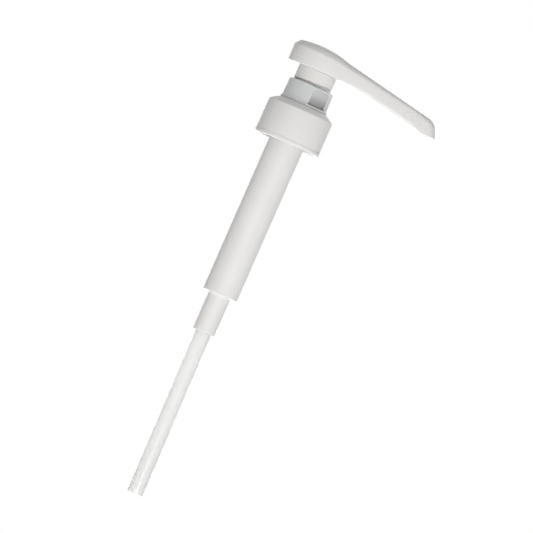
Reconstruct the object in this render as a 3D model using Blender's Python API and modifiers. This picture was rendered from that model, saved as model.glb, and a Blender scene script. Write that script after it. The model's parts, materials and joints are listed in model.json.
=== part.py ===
"""A hand pump for a gallon jug of sauce, screwed down on its lock thread.

Metres, +Z up along the pump's axis. The origin is on that axis, in the plane where the gasket meets
the jug's lip. The spout points along +X. At rest the plunger is at the bottom of its stroke.
"""

import math

import bmesh
import bpy
from mathutils import Euler, Vector

# Fits
SEAT_GAP = 0.0003  # between faces that bear on each other
RUN_GAP = 0.0003  # all round a piece that slides, turns or is pressed into another
CUT_MARGIN = 0.002  # how far a cut runs past the face it opens

# Facets
ROUND_STEPS = 48
CORE_STEPS = 32
THREAD_STEPS = 24  # points in one turn of a thread
BEND_STEPS = 4
RING_SIDES = 10
BALL_STEPS = 16
BALL_ROWS = 10
VENT_STEPS = 12
LEAN_PASSES = 4  # the leaning nose is found by repeated correction
WELD = 0.00001

# Neck sleeve and collar, which set the radii of the cap
NECK_RADIUS = 0.0120
SLEEVE_WALL = 0.0017
LOCK_DEPTH = 0.0094
LOCK_PITCH = 0.0032
LOCK_TURNS = 2.0
LOCK_GROOVE_RADIUS = 0.00075
LOCK_RUN_OUT = 0.0013  # height of the groove's upper end over the collar
LOCK_END_DEG = 15.0
COLLAR_WALL = 0.00175
COLLAR_DRAFT = 0.00045
COLLAR_STAND = 0.0127
COLLAR_LIP = 0.0009
BEAD_PROUD = 0.0006
BEAD_HEIGHT = 0.0008
POCKET_WIDTH = 0.0126
POCKET_DEPTH = 0.0009
POCKET_CORNER = 0.0022
POCKET_BRIM = 0.0014  # plain collar left above a pocket
POCKET_TURN_DEG = -55.0
POCKET_COUNT = 2
WIPER_WIDTH = 0.0019
WIPER_THICKNESS = 0.0013
STOP_DEPTH = 0.0145  # the collar's spigot stops the plunger this far below the jug's lip

# Screw cap and gasket
GASKET_THICKNESS = 0.0015
GASKET_INSET = 0.0004
FLANGE_THICKNESS = 0.0016
FLANGE_LAP = 0.0027
THREAD_ROOM = 0.0013
CAP_WALL = 0.00185
CAP_TOP_WALL = 0.0012
CAP_SKIRT = 0.0167
CAP_DRAFT = 0.0001
SHOULDER_RISE = 0.0037
SHOULDER_SWELL = 0.0004
BAND_HEIGHT = 0.0026
BAND_PROUD = 0.00015
THREAD_PITCH = 0.0042
THREAD_TURNS = 1.25
THREAD_RADIUS = 0.0009
THREAD_START = 0.0030  # from the cap's rim to the start of the thread

# Pressing head and spout
NECK_SHOW = 0.0090
HUB_OVERHANG = 0.0077
HUB_HEIGHT = 0.0153
HUB_ROOF = 0.0028
HUB_WALL = 0.0022
HUB_FILLET = 0.0050
HUB_RECESS = 0.0025
SLEEVE_SEAT = 0.0030
SLEEVE_RIM = 0.0009
OUTLET_CHAMBER = 0.0042
CROWN_RADIUS = 0.0650
CROWN_TOP = -0.0040
CROWN_EDGE = -0.0002  # where the spout's straight ridge would reach the crown's height
CROWN_RUN_OUT = 0.0090  # from here the dome runs out into the ridge
CROWN_STEPS = 2
SPOUT_REACH = 0.0808
SPOUT_SLOPE_DEG = 10.8
SPOUT_FILLET = 0.0022
SPOUT_BLEND = 0.0080  # run over which one fillet grows into the next
SPOUT_WALL = 0.0019
LOWER_EDGE = 0.0004
NOSE_RADIUS = 0.0050
NOSE_FILLET = 0.0034
NOSE_TILT_DEG = 23.0
MOUTH_LENGTH = 0.0100
MOUTH_DEPTH = 0.0105
MOUTH_SETBACK = 0.0006
MOUTH_HOLE_DEPTH = 0.0044
DUCT_TAPER = 0.0004
HUB_ARC_STEPS = 20
SIDE_STEPS = 10
NOSE_ARC_STEPS = 5
FILLET_STEPS = 3

# Barrel and piston
BARREL_RADIUS = 0.0110
BARREL_WALL = 0.00125
BARREL_LENGTH = 0.1158  # from the jug's lip to the barrel's lower end
BARREL_EDGE = 0.0004
VENT_RADIUS = 0.0008
VENT_DEPTH = 0.0060
STROKE = 0.0500
PISTON_ROOM = 0.00355  # from the barrel's bore to the stem
PISTON_EDGE = 0.0007
STEM_WALL = 0.0024
STEM_FLANGE = 0.0015
CUP_HEIGHT = 0.0100
CUP_HUB = 0.0009
CUP_WAIST = 0.0007
LIP_HEIGHT = 0.0018
LIP_THICKNESS = 0.0007
LIP_GROOVE = 0.0026
RETAINER_FLANGE = 0.0020
RETAINER_SPIGOT = 0.0070
RETAINER_WALL = 0.0012
WASHER_THICKNESS = 0.0008
WASHER_WIDTH = 0.0032

# Outlet valve, in the top of the stem
STEM_RING_RADIUS = 0.0005
STEM_RING_DROP = 0.0026
OUTLET_BALL_CLEAR = 0.0009
OUTLET_SEAT_LAP = 0.0008
OUTLET_SHELF = 0.0015
OUTLET_LIFT = 0.0020
BALL_STOP_THICKNESS = 0.0014
BALL_STOP_RIM = 0.0008
BALL_STOP_BAR = 0.0011

# Spring, foot valve and dip tube
WIRE_RADIUS = 0.0006
COIL_CLEAR = 0.0021  # from the coil to the barrel's bore
COIL_GAP = 0.0006  # least gap between turns of the closed spring
COIL_POINTS = 9
CAGE_CLEAR = 0.0008
CAGE_WALL = 0.0013
CAGE_FLANGE = 0.0012
CAGE_ROOF = 0.0012
CAGE_WINDOW = 0.0030
INLET_BALL_CLEAR = 0.0006
INLET_SEAT_LAP = 0.0011
INLET_LIFT = 0.0025
SEAT_DEPTH = 0.0050
PLUG_HEIGHT = 0.0120
FOOT_RING_RADIUS = 0.0007
FOOT_RING_DROP = 0.0060
SOCKET_WALL = 0.0016
SOCKET_LENGTH = 0.0243
TUBE_RADIUS = 0.0050
TUBE_WALL = 0.0010
TUBE_SEAT = 0.0180
TUBE_LENGTH = 0.1227
TUBE_LEAN_DEG = 0.65
TUBE_PIVOT = 0.0045  # height over the socket's mouth at which the leaning tube is central

# Radii, outwards from the barrel's bore and the neck
bore_radius = BARREL_RADIUS - BARREL_WALL
running_radius = bore_radius - RUN_GAP
stem_radius = bore_radius - PISTON_ROOM
stem_bore = stem_radius - STEM_WALL
collar_bore = NECK_RADIUS + RUN_GAP
collar_top_radius = collar_bore + COLLAR_WALL
collar_base_radius = collar_top_radius + COLLAR_DRAFT
cap_hole = collar_base_radius + RUN_GAP
flange_radius = cap_hole + FLANGE_LAP
cap_bore = flange_radius + THREAD_ROOM
cap_radius = cap_bore + CAP_WALL
hub_radius = NECK_RADIUS + HUB_OVERHANG
coil_radius = bore_radius - COIL_CLEAR - WIRE_RADIUS
cage_radius = coil_radius - WIRE_RADIUS - CAGE_CLEAR
cage_bore = cage_radius - CAGE_WALL
inlet_ball_radius = cage_bore - INLET_BALL_CLEAR
inlet_throat = inlet_ball_radius - INLET_SEAT_LAP
outlet_ball_radius = stem_bore - OUTLET_BALL_CLEAR
outlet_throat = outlet_ball_radius - OUTLET_SEAT_LAP
tube_hole = TUBE_RADIUS + RUN_GAP
socket_radius = tube_hole + SOCKET_WALL

# Heights above the jug's lip, upwards
flange_bottom = GASKET_THICKNESS + SEAT_GAP
flange_top = flange_bottom + FLANGE_THICKNESS
cap_ceiling = flange_top + SEAT_GAP
cap_corner = cap_ceiling + CAP_TOP_WALL
cap_top = cap_corner + SHOULDER_RISE
cap_rim = -CAP_SKIRT
bead_bottom = cap_top + SEAT_GAP
bead_top = bead_bottom + BEAD_HEIGHT
collar_top = cap_top + COLLAR_STAND
collar_floor = collar_top - LOCK_DEPTH
sleeve_bottom = collar_floor + SEAT_GAP
hub_bottom = collar_top + NECK_SHOW
hub_top = hub_bottom + HUB_HEIGHT
sleeve_top = hub_bottom + SLEEVE_SEAT
chamber_top = hub_top - HUB_ROOF
stem_socket_top = chamber_top - OUTLET_CHAMBER
stem_top = stem_socket_top - SEAT_GAP

# Heights below the jug's lip, downwards
spigot_bottom = -STOP_DEPTH
piston_top = spigot_bottom - SEAT_GAP - STROKE
cup_top = piston_top - STEM_FLANGE - SEAT_GAP
cup_bottom = cup_top - CUP_HEIGHT
retainer_top = cup_bottom - SEAT_GAP
retainer_bottom = retainer_top - RETAINER_FLANGE
washer_top = retainer_bottom - SEAT_GAP
washer_bottom = washer_top - WASHER_THICKNESS
barrel_bottom = -BARREL_LENGTH
plug_top = barrel_bottom + PLUG_HEIGHT
cage_flange_top = plug_top + SEAT_GAP + CAGE_FLANGE
socket_bottom = barrel_bottom - SOCKET_LENGTH
tube_stop = socket_bottom + TUBE_SEAT
spring_bottom = cage_flange_top + SEAT_GAP
spring_top = washer_bottom - SEAT_GAP

spout_slope = math.tan(math.radians(SPOUT_SLOPE_DEG))
nose_lean = math.tan(math.radians(NOSE_TILT_DEG))
nose_x = SPOUT_REACH - NOSE_RADIUS
mouth_start = SPOUT_REACH - MOUTH_LENGTH


def clear_scene():
    for leftover in list(bpy.data.objects):
        bpy.data.objects.remove(leftover)


def new_collection(name):
    collection = bpy.data.collections.new(name)
    bpy.context.scene.collection.children.link(collection)
    return collection


def add_part(name, data, finish, parent):
    """An object of the pump with its finish, carried by one of the pump's moving frames."""
    part = bpy.data.objects.new(name, data)
    parts.objects.link(part)
    part.parent = parent
    data.materials.append(finish)
    return part


def add_cutter(name, mesh):
    cutter = bpy.data.objects.new(name, mesh)
    cutters.objects.link(cutter)
    cutter.hide_render = True
    cutter.display_type = "WIRE"
    return cutter


def combine(part, tool, operation):
    boolean = part.modifiers.new(tool.name, "BOOLEAN")
    boolean.object = tool
    boolean.operation = operation
    boolean.solver = "EXACT"


def finish_of(name, red, green, blue, roughness, metallic=0.0):
    finish = bpy.data.materials.new(name)
    finish.use_nodes = True
    shader = finish.node_tree.nodes["Principled BSDF"]
    shader.inputs["Base Color"].default_value = (red, green, blue, 1.0)
    shader.inputs["Roughness"].default_value = roughness
    shader.inputs["Metallic"].default_value = metallic
    return finish


def moving_frame(name, height, parent=None):
    """An empty on the pump's axis that carries the pieces of one moving body."""
    frame = bpy.data.objects.new(name, None)
    parts.objects.link(frame)
    frame.location.z = height
    frame.parent = parent
    return frame


def outline_mesh(name, outline, closed):
    mesh = bpy.data.meshes.new(name)
    count = len(outline)
    edges = [(i, (i + 1) % count) for i in range(count if closed else count - 1)]
    mesh.from_pydata([(radius, 0.0, height) for radius, height in outline], edges, [])
    return mesh


def spin_outline(item, steps):
    screw = item.modifiers.new("Turn", "SCREW")
    screw.axis = "Z"
    screw.angle = math.tau
    screw.steps = steps
    screw.render_steps = steps
    screw.use_merge_vertices = True
    screw.merge_threshold = WELD
    screw.use_smooth_shade = True


def turned_part(name, outline, finish, parent, steps=CORE_STEPS):
    """A ring or tube turned from its section: (radius, height), down the outer side and up the inner."""
    part = add_part(name, outline_mesh(name, outline, closed=True), finish, parent)
    part.location.z = -height_of(parent)
    spin_outline(part, steps)
    return part


def turned_cutter(name, outline, steps, closed):
    cutter = add_cutter(name, outline_mesh(name, outline, closed))
    spin_outline(cutter, steps)
    return cutter


def height_of(frame):
    """Height of a moving frame over the jug's lip."""
    return frame.location.z + (height_of(frame.parent) if frame.parent else 0.0)


def shape_cutter(name, form):
    """A cutter from a bmesh, which is freed."""
    bmesh.ops.recalc_face_normals(form, faces=form.faces)
    mesh = bpy.data.meshes.new(name)
    form.to_mesh(mesh)
    form.free()
    return add_cutter(name, mesh)


def rod_cutter(name, start, end, start_radius, end_radius, segments=CORE_STEPS):
    """A round bar from start to end, for drilling."""
    axis = end - start
    form = bmesh.new()
    bmesh.ops.create_cone(
        form,
        cap_ends=True,
        segments=segments,
        radius1=start_radius,
        radius2=end_radius,
        depth=axis.length,
    )
    bmesh.ops.rotate(form, verts=form.verts, matrix=axis.to_track_quat("Z", "Y").to_matrix())
    bmesh.ops.translate(form, verts=form.verts, vec=(start + end) / 2)
    return shape_cutter(name, form)


def box_cutter(name, size, centre):
    form = bmesh.new()
    bmesh.ops.create_cube(form, size=1.0)
    bmesh.ops.scale(form, verts=form.verts, vec=size)
    bmesh.ops.translate(form, verts=form.verts, vec=centre)
    return shape_cutter(name, form)


def helix(radius, low, high, turns, end_deg, points_per_turn=THREAD_STEPS):
    """Points of a right-hand helix that ends at the height high, end_deg round from +X."""
    count = round(turns * points_per_turn)
    points = []
    for i in range(count + 1):
        share = i / count
        angle = math.radians(end_deg) - math.tau * turns * (1 - share)
        height = low + (high - low) * share
        points.append(Vector((radius * math.cos(angle), radius * math.sin(angle), height)))
    return points


def wire_curve(name, points, radius):
    """A round wire through the points, with closed ends."""
    curve = bpy.data.curves.new(name, "CURVE")
    curve.dimensions = "3D"
    curve.bevel_depth = radius
    curve.bevel_resolution = 1
    curve.use_fill_caps = True
    spline = curve.splines.new("POLY")
    spline.points.add(len(points) - 1)
    for spot, point in zip(spline.points, points):
        spot.co = (*point, 1.0)
    return curve


def wire_cutter(name, points, radius):
    """The wire as a welded mesh, which can cut a groove or add a thread."""
    wire = bpy.data.objects.new(name + "_path", wire_curve(name + "_path", points, radius))
    cutters.objects.link(wire)
    graph = bpy.context.evaluated_depsgraph_get()
    mesh = bpy.data.meshes.new_from_object(wire.evaluated_get(graph))
    form = bmesh.new()
    form.from_mesh(mesh)
    bmesh.ops.remove_doubles(form, verts=form.verts, dist=WELD)
    bpy.data.objects.remove(wire)
    return shape_cutter(name, form)


def ball_part(name, radius, height, finish, parent):
    form = bmesh.new()
    bmesh.ops.create_uvsphere(form, u_segments=BALL_STEPS, v_segments=BALL_ROWS, radius=radius)
    for face in form.faces:
        face.smooth = True
    mesh = bpy.data.meshes.new(name)
    form.to_mesh(mesh)
    form.free()
    ball = add_part(name, mesh, finish, parent)
    ball.location.z = height - height_of(parent)
    return ball


def ring_part(name, radius, section, height, finish, parent):
    """An O-ring: a round section swept round the axis."""
    outline = []
    for i in range(RING_SIDES):
        angle = math.tau * i / RING_SIDES
        outline.append((radius + section * math.cos(angle), height - section * math.sin(angle)))
    return turned_part(name, outline, finish, parent)


def arc(radius, height, size, start_deg, end_deg):
    """Points of a turned section's round edge, about a centre at (radius, height)."""
    points = []
    for i in range(BEND_STEPS + 1):
        angle = math.radians(start_deg + (end_deg - start_deg) * i / BEND_STEPS)
        points.append((radius + size * math.cos(angle), height + size * math.sin(angle)))
    return points


def ramp(value, low, high):
    return min(max((value - low) / (high - low), 0.0), 1.0)


def crown_fall(distance):
    """Drop of the domed crown at a distance from its top."""
    return distance**2 / (2 * CROWN_RADIUS)


def spout_top(x):
    """Height of the head's crown line: a low dome over the hub, then straight down along the spout."""
    dome = hub_top - crown_fall(x - CROWN_TOP)
    ridge = hub_top - spout_slope * (x - CROWN_EDGE)
    share = ramp(x, CROWN_RUN_OUT, hub_radius)
    return dome + (ridge - dome) * share**2 * (3 - 2 * share)


mouth_height = spout_top(mouth_start) - MOUTH_DEPTH


def spout_underside(x):
    """Height of the head's underside: the hub's flat, the spout's slope, the level mouth."""
    return hub_bottom + (mouth_height - hub_bottom) * ramp(x, hub_radius, mouth_start)


def edge_fillet(x):
    """Radius of the rounded edge along the top of the head's side."""
    to_spout = ramp(x, -hub_radius, hub_radius + SPOUT_BLEND)
    to_nose = ramp(x, nose_x - SPOUT_BLEND, nose_x)
    radius = HUB_FILLET + (SPOUT_FILLET - HUB_FILLET) * to_spout
    return radius + (NOSE_FILLET - SPOUT_FILLET) * to_nose


def head_half_plan(inset):
    """Half the head's plan, from its back to its nose: round hub, straight side, round nose.

    inset gives how far each place lies inside the outline, from its distance along X.
    """
    lean = math.asin((hub_radius - NOSE_RADIUS) / nose_x)
    points = []
    for i in range(HUB_ARC_STEPS + 1):
        angle = math.pi - (math.pi / 2 + lean) * i / HUB_ARC_STEPS
        radius = hub_radius - inset(hub_radius * math.cos(angle))
        points.append((radius * math.cos(angle), radius * math.sin(angle), 0.0))
    start = Vector((math.sin(lean), math.cos(lean)))
    for i in range(1, SIDE_STEPS):
        share = i / SIDE_STEPS
        outer = hub_radius + (NOSE_RADIUS - hub_radius) * share
        radius = outer - inset(nose_x * share + outer * start.x)
        points.append((nose_x * share + radius * start.x, radius * start.y, share))
    for i in range(NOSE_ARC_STEPS + 1):
        angle = (math.pi / 2 - lean) * (1 - i / NOSE_ARC_STEPS)
        radius = NOSE_RADIUS - inset(nose_x)
        points.append((nose_x + radius * math.cos(angle), radius * math.sin(angle), 1.0))
    return points


def head_row(inset, height):
    """One row of points along the half plan. The nose leans back as it rises over the mouth."""
    row = []
    for x, y, share in head_half_plan(inset):
        leaned = x
        for _ in range(LEAN_PASSES):
            leaned = x - nose_lean * share * (height(leaned, y) - mouth_height)
        row.append(Vector((leaned, y, height(leaned, y))))
    row[0].y = 0.0
    row[-1].y = 0.0
    return row


def head_rows():
    """Rows from the underside's centre line, round the side, to the crown's centre line."""
    edge = head_row(lambda x: LOWER_EDGE, lambda x, y: spout_underside(x))
    rows = [[Vector((point.x, 0.0, point.z)) for point in edge], edge]
    rows.append(head_row(lambda x: 0.0, lambda x, y: spout_underside(x) + LOWER_EDGE))
    for i in range(FILLET_STEPS + 1):
        angle = math.pi / 2 * i / FILLET_STEPS
        inward = 1 - math.cos(angle)
        down = 1 - math.sin(angle)
        rows.append(
            head_row(
                lambda x: edge_fillet(x) * inward,
                lambda x, y: spout_top(x) - crown_fall(y) - edge_fillet(x) * down,
            )
        )
    shoulder = rows[-1]
    for i in range(1, CROWN_STEPS + 1):
        share = 1 - i / CROWN_STEPS
        rows.append(
            [
                Vector((point.x, point.y * share, spout_top(point.x) - crown_fall(point.y * share)))
                for point in shoulder
            ]
        )
    return rows


def head_mesh(name):
    """The head's half as a loft between its rows, open at the plane that it is mirrored in."""
    form = bmesh.new()
    grid = [[form.verts.new(point) for point in row] for row in head_rows()]
    for lower, upper in zip(grid, grid[1:]):
        for i in range(len(lower) - 1):
            form.faces.new((lower[i], upper[i], upper[i + 1], lower[i + 1]))
    bmesh.ops.remove_doubles(form, verts=form.verts, dist=WELD)
    for face in form.faces:
        face.smooth = True
    mesh = bpy.data.meshes.new(name)
    form.to_mesh(mesh)
    form.free()
    return mesh


def build_head(finish, parent):
    head = add_part("pump_head", head_mesh("pump_head"), finish, parent)
    head.location.z = -height_of(parent)
    mirror = head.modifiers.new("Halves", "MIRROR")
    mirror.use_axis = (False, True, False)
    mirror.merge_threshold = WELD
    below = hub_bottom - CUT_MARGIN
    socket_radius_in_head = NECK_RADIUS + RUN_GAP
    sockets = [
        (0.0, chamber_top),
        (stem_bore, chamber_top),
        (stem_bore, stem_socket_top),
        (stem_radius + RUN_GAP, stem_socket_top),
        (stem_radius + RUN_GAP, sleeve_top + SEAT_GAP),
        (socket_radius_in_head, sleeve_top + SEAT_GAP),
        (socket_radius_in_head, below),
        (0.0, below),
    ]
    combine(head, turned_cutter("head_sockets", sockets, ROUND_STEPS, closed=False), "DIFFERENCE")
    recess = [
        (hub_radius - HUB_WALL, hub_bottom + HUB_RECESS),
        (hub_radius - HUB_WALL, below),
        (socket_radius_in_head + SLEEVE_RIM, below),
        (socket_radius_in_head + SLEEVE_RIM, hub_bottom + HUB_RECESS),
    ]
    combine(head, turned_cutter("head_recess", recess, ROUND_STEPS, closed=True), "DIFFERENCE")
    mouth_x = nose_x - MOUTH_SETBACK
    duct_start = Vector((0.0, 0.0, (chamber_top + stem_socket_top) / 2))
    duct_end = Vector((mouth_x, 0.0, (spout_top(mouth_x) + spout_underside(mouth_x)) / 2))
    duct_radius = NOSE_RADIUS - SPOUT_WALL
    duct = rod_cutter("duct", duct_start, duct_end, duct_radius, duct_radius - DUCT_TAPER)
    combine(head, duct, "DIFFERENCE")
    mouth_low = Vector((mouth_x, 0.0, mouth_height - CUT_MARGIN))
    mouth_high = Vector((mouth_x, 0.0, mouth_height + MOUTH_HOLE_DEPTH))
    mouth = rod_cutter("mouth", mouth_low, mouth_high, duct_radius, duct_radius)
    combine(head, mouth, "DIFFERENCE")


def build_lock_sleeve(finish, parent):
    section = [
        (NECK_RADIUS, sleeve_top),
        (NECK_RADIUS, sleeve_bottom + LOWER_EDGE),
        (NECK_RADIUS - LOWER_EDGE, sleeve_bottom),
        (NECK_RADIUS - SLEEVE_WALL, sleeve_bottom),
        (NECK_RADIUS - SLEEVE_WALL, sleeve_top),
    ]
    sleeve = turned_part("lock_sleeve", section, finish, parent, ROUND_STEPS)
    high = collar_top + LOCK_RUN_OUT
    low = high - LOCK_TURNS * LOCK_PITCH
    path = helix(NECK_RADIUS, low, high, LOCK_TURNS, LOCK_END_DEG)
    combine(sleeve, wire_cutter("lock_groove", path, LOCK_GROOVE_RADIUS), "DIFFERENCE")


def build_stem(finish, parent):
    """The hollow rod: seal groove and ball seat at the top, piston shoulder near the bottom."""
    groove = stem_radius - 2 * STEM_RING_RADIUS - RUN_GAP
    groove_half = STEM_RING_RADIUS + SEAT_GAP
    ring_height = stem_top - STEM_RING_DROP
    shoulder = running_radius - PISTON_EDGE
    section = [
        (stem_radius, stem_top),
        (stem_radius, ring_height + groove_half),
        (groove, ring_height + groove_half),
        (groove, ring_height - groove_half),
        (stem_radius, ring_height - groove_half),
        (stem_radius, piston_top),
        (shoulder, piston_top),
        (shoulder, piston_top - STEM_FLANGE),
        (stem_radius, piston_top - STEM_FLANGE),
        (stem_radius, cup_bottom),
        (stem_bore, cup_bottom),
        (stem_bore, outlet_seat - OUTLET_SHELF),
        (outlet_throat, outlet_seat - OUTLET_SHELF),
        (outlet_throat, outlet_seat),
        (stem_bore, outlet_seat + stem_bore - outlet_throat),
        (stem_bore, stem_top),
    ]
    turned_part("stem", section, finish, parent)


def build_ball_stop(finish, parent):
    """A ring with one bar across it, over the outlet ball."""
    rim = stem_bore - RUN_GAP
    low = stem_top - BALL_STOP_THICKNESS
    section = [
        (rim, stem_top),
        (rim, low),
        (rim - BALL_STOP_RIM, low),
        (rim - BALL_STOP_RIM, stem_top),
    ]
    stop = turned_part("outlet_ball_stop", section, finish, parent)
    bar_length = 2 * rim - BALL_STOP_RIM
    bar_height = BALL_STOP_THICKNESS / 2
    bar = box_cutter(
        "ball_stop_bar",
        (bar_length, BALL_STOP_BAR, bar_height),
        (0.0, 0.0, low + bar_height),
    )
    combine(stop, bar, "UNION")


def build_collar(finish, parent):
    """The collar: cup for the lock sleeve, bead over the cap, and spigot down in the barrel."""
    guide = stem_radius + RUN_GAP
    wiper_pocket = guide + WIPER_WIDTH + RUN_GAP
    wiper_floor = collar_floor - WIPER_THICKNESS - 2 * SEAT_GAP
    lip_centre = collar_top_radius - COLLAR_LIP
    section = arc(lip_centre, collar_top - COLLAR_LIP, COLLAR_LIP, 90, 0)
    section += [
        (collar_base_radius, bead_top),
        (collar_base_radius + BEAD_PROUD, bead_top),
        (collar_base_radius + BEAD_PROUD, bead_bottom),
        (collar_base_radius, bead_bottom),
        (collar_base_radius, cap_ceiling),
        (running_radius, cap_ceiling),
        (running_radius, spigot_bottom),
        (guide, spigot_bottom),
        (guide, wiper_floor),
        (wiper_pocket, wiper_floor),
        (wiper_pocket, collar_floor),
        (collar_bore, collar_floor),
        (collar_bore, collar_top - LOWER_EDGE),
        (collar_bore + LOWER_EDGE, collar_top),
    ]
    collar = turned_part("chaplet", section, finish, parent, ROUND_STEPS)
    core_radius = collar_base_radius - POCKET_DEPTH
    core = [
        (0.0, collar_top + CUT_MARGIN),
        (collar_top_radius - POCKET_DEPTH, collar_top + CUT_MARGIN),
        (collar_top_radius - POCKET_DEPTH, collar_top),
        (core_radius, bead_top),
        (core_radius, bead_top - CUT_MARGIN),
        (0.0, bead_top - CUT_MARGIN),
    ]
    pocket_core = turned_cutter("pocket_core", core, ROUND_STEPS, closed=False)
    for i in range(POCKET_COUNT):
        turn = math.radians(POCKET_TURN_DEG) + math.tau * i / POCKET_COUNT
        pocket = pocket_cutter(f"pocket_{i}", turn)
        combine(pocket, pocket_core, "DIFFERENCE")
        combine(collar, pocket, "DIFFERENCE")


def pocket_cutter(name, turn):
    """A block with round upper corners, standing out from the axis in one direction."""
    half = POCKET_WIDTH / 2
    centre = half - POCKET_CORNER
    high = collar_top - POCKET_BRIM - POCKET_CORNER
    upper = arc(centre, high, POCKET_CORNER, 0, 90) + arc(-centre, high, POCKET_CORNER, 90, 180)
    outline = [(-half, bead_top), (half, bead_top)] + upper
    form = bmesh.new()
    corners = [form.verts.new((collar_bore, across, height)) for across, height in outline]
    face = form.faces.new(corners)
    depth = collar_base_radius + CUT_MARGIN - collar_bore
    swept = bmesh.ops.extrude_face_region(form, geom=[face], use_keep_orig=True)
    outer = [item for item in swept["geom"] if isinstance(item, bmesh.types.BMVert)]
    bmesh.ops.translate(form, verts=outer, vec=(depth, 0.0, 0.0))
    bmesh.ops.rotate(form, verts=form.verts, matrix=Euler((0.0, 0.0, turn)).to_matrix())
    return shape_cutter(name, form)


def build_wiper(finish, parent):
    inner = stem_radius + RUN_GAP
    high = collar_floor - SEAT_GAP
    section = [
        (inner + WIPER_WIDTH, high),
        (inner + WIPER_WIDTH, high - WIPER_THICKNESS),
        (inner, high - WIPER_THICKNESS),
        (inner, high),
    ]
    turned_part("stem_wiper", section, finish, parent)


def build_cap(finish, parent):
    """The screw cap: hole for the collar, swelling shoulder, plain side, banded rim, inside thread."""
    top_radius = cap_radius - CAP_DRAFT
    section = []
    for i in range(BEND_STEPS + 1):
        share = i / BEND_STEPS
        swell = SHOULDER_SWELL * math.sin(math.pi * share)
        radius = cap_hole + (top_radius - cap_hole) * share + swell
        section.append((radius, cap_top + (cap_corner - cap_top) * share + swell))
    section[0] = (cap_hole, cap_top)
    section += [
        (cap_radius, cap_rim + BAND_HEIGHT),
        (cap_radius + BAND_PROUD, cap_rim + BAND_HEIGHT),
        (cap_radius + BAND_PROUD, cap_rim),
        (cap_bore, cap_rim),
        (cap_bore, cap_ceiling),
        (cap_hole, cap_ceiling),
    ]
    cap = turned_part("closure", section, finish, parent, ROUND_STEPS)
    low = cap_rim + THREAD_START
    path = helix(cap_bore, low, low + THREAD_TURNS * THREAD_PITCH, THREAD_TURNS, 0.0)
    combine(cap, wire_cutter("cap_thread", path, THREAD_RADIUS), "UNION")


def build_gasket(finish, parent):
    outer = flange_radius - GASKET_INSET
    inner = BARREL_RADIUS + RUN_GAP
    section = [(outer, GASKET_THICKNESS), (outer, 0.0), (inner, 0.0), (inner, GASKET_THICKNESS)]
    turned_part("neck_gasket", section, finish, parent, ROUND_STEPS)


def build_barrel(finish, parent):
    section = [
        (flange_radius, flange_top),
        (flange_radius, flange_bottom),
        (BARREL_RADIUS, flange_bottom),
        (BARREL_RADIUS, barrel_bottom + BARREL_EDGE),
        (BARREL_RADIUS - BARREL_EDGE, barrel_bottom),
        (bore_radius, barrel_bottom),
        (bore_radius, flange_top),
    ]
    barrel = turned_part("barrel", section, finish, parent, ROUND_STEPS)
    inside = Vector((0.0, bore_radius - CUT_MARGIN, -VENT_DEPTH))
    outside = Vector((0.0, BARREL_RADIUS + CUT_MARGIN, -VENT_DEPTH))
    vent = rod_cutter("vent", inside, outside, VENT_RADIUS, VENT_RADIUS, VENT_STEPS)
    combine(barrel, vent, "DIFFERENCE")


def build_piston(rubber, plastic, steel, parent):
    """The two-lipped cup under the stem's shoulder, its retainer, and the spring's washer."""
    inner = stem_radius + RUN_GAP
    hub = inner + CUP_HUB
    lip_inner = running_radius - LIP_THICKNESS
    groove = (hub + lip_inner) / 2
    waist = running_radius - CUP_WAIST
    cup = [
        (running_radius, cup_top),
        (running_radius, cup_top - LIP_HEIGHT),
        (waist, cup_top - LIP_HEIGHT - CUP_WAIST),
        (waist, cup_bottom + LIP_HEIGHT + CUP_WAIST),
        (running_radius, cup_bottom + LIP_HEIGHT),
        (running_radius, cup_bottom),
        (lip_inner, cup_bottom),
        (groove, cup_bottom + LIP_GROOVE),
        (hub, cup_bottom),
        (inner, cup_bottom),
        (inner, cup_top),
        (hub, cup_top),
        (groove, cup_top - LIP_GROOVE),
        (lip_inner, cup_top),
    ]
    turned_part("piston_cup", cup, rubber, parent)
    spigot = stem_bore - RUN_GAP
    disc = running_radius - PISTON_EDGE
    retainer = [
        (spigot, retainer_top + RETAINER_SPIGOT),
        (spigot, retainer_top),
        (disc, retainer_top),
        (disc, retainer_bottom),
        (spigot - RETAINER_WALL, retainer_bottom),
        (spigot - RETAINER_WALL, retainer_top + RETAINER_SPIGOT),
    ]
    turned_part("piston_retainer", retainer, plastic, parent)
    washer = [
        (disc, washer_top),
        (disc, washer_bottom),
        (disc - WASHER_WIDTH, washer_bottom),
        (disc - WASHER_WIDTH, washer_top),
    ]
    turned_part("spring_washer", washer, steel, parent)


def build_spring(finish, parent):
    """The closed return spring, one wire from the cage's flange up to the washer."""
    low = spring_bottom + WIRE_RADIUS
    high = spring_top - WIRE_RADIUS
    turns = math.floor((high - low) / (2 * WIRE_RADIUS + COIL_GAP))
    points = helix(coil_radius, low, high, turns, 0.0, COIL_POINTS)
    apart = COIL_POINTS // 2
    least = min(
        (points[i] - points[j]).length
        for i in range(len(points))
        for j in range(i + apart, len(points))
    )
    print(f"return_spring: {turns} turns, least gap {(least - 2 * WIRE_RADIUS) * 1000:.2f} mm")
    spring = add_part("return_spring", wire_curve("return_spring", points, WIRE_RADIUS), finish, parent)
    spring.location.z = -height_of(parent)


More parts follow.
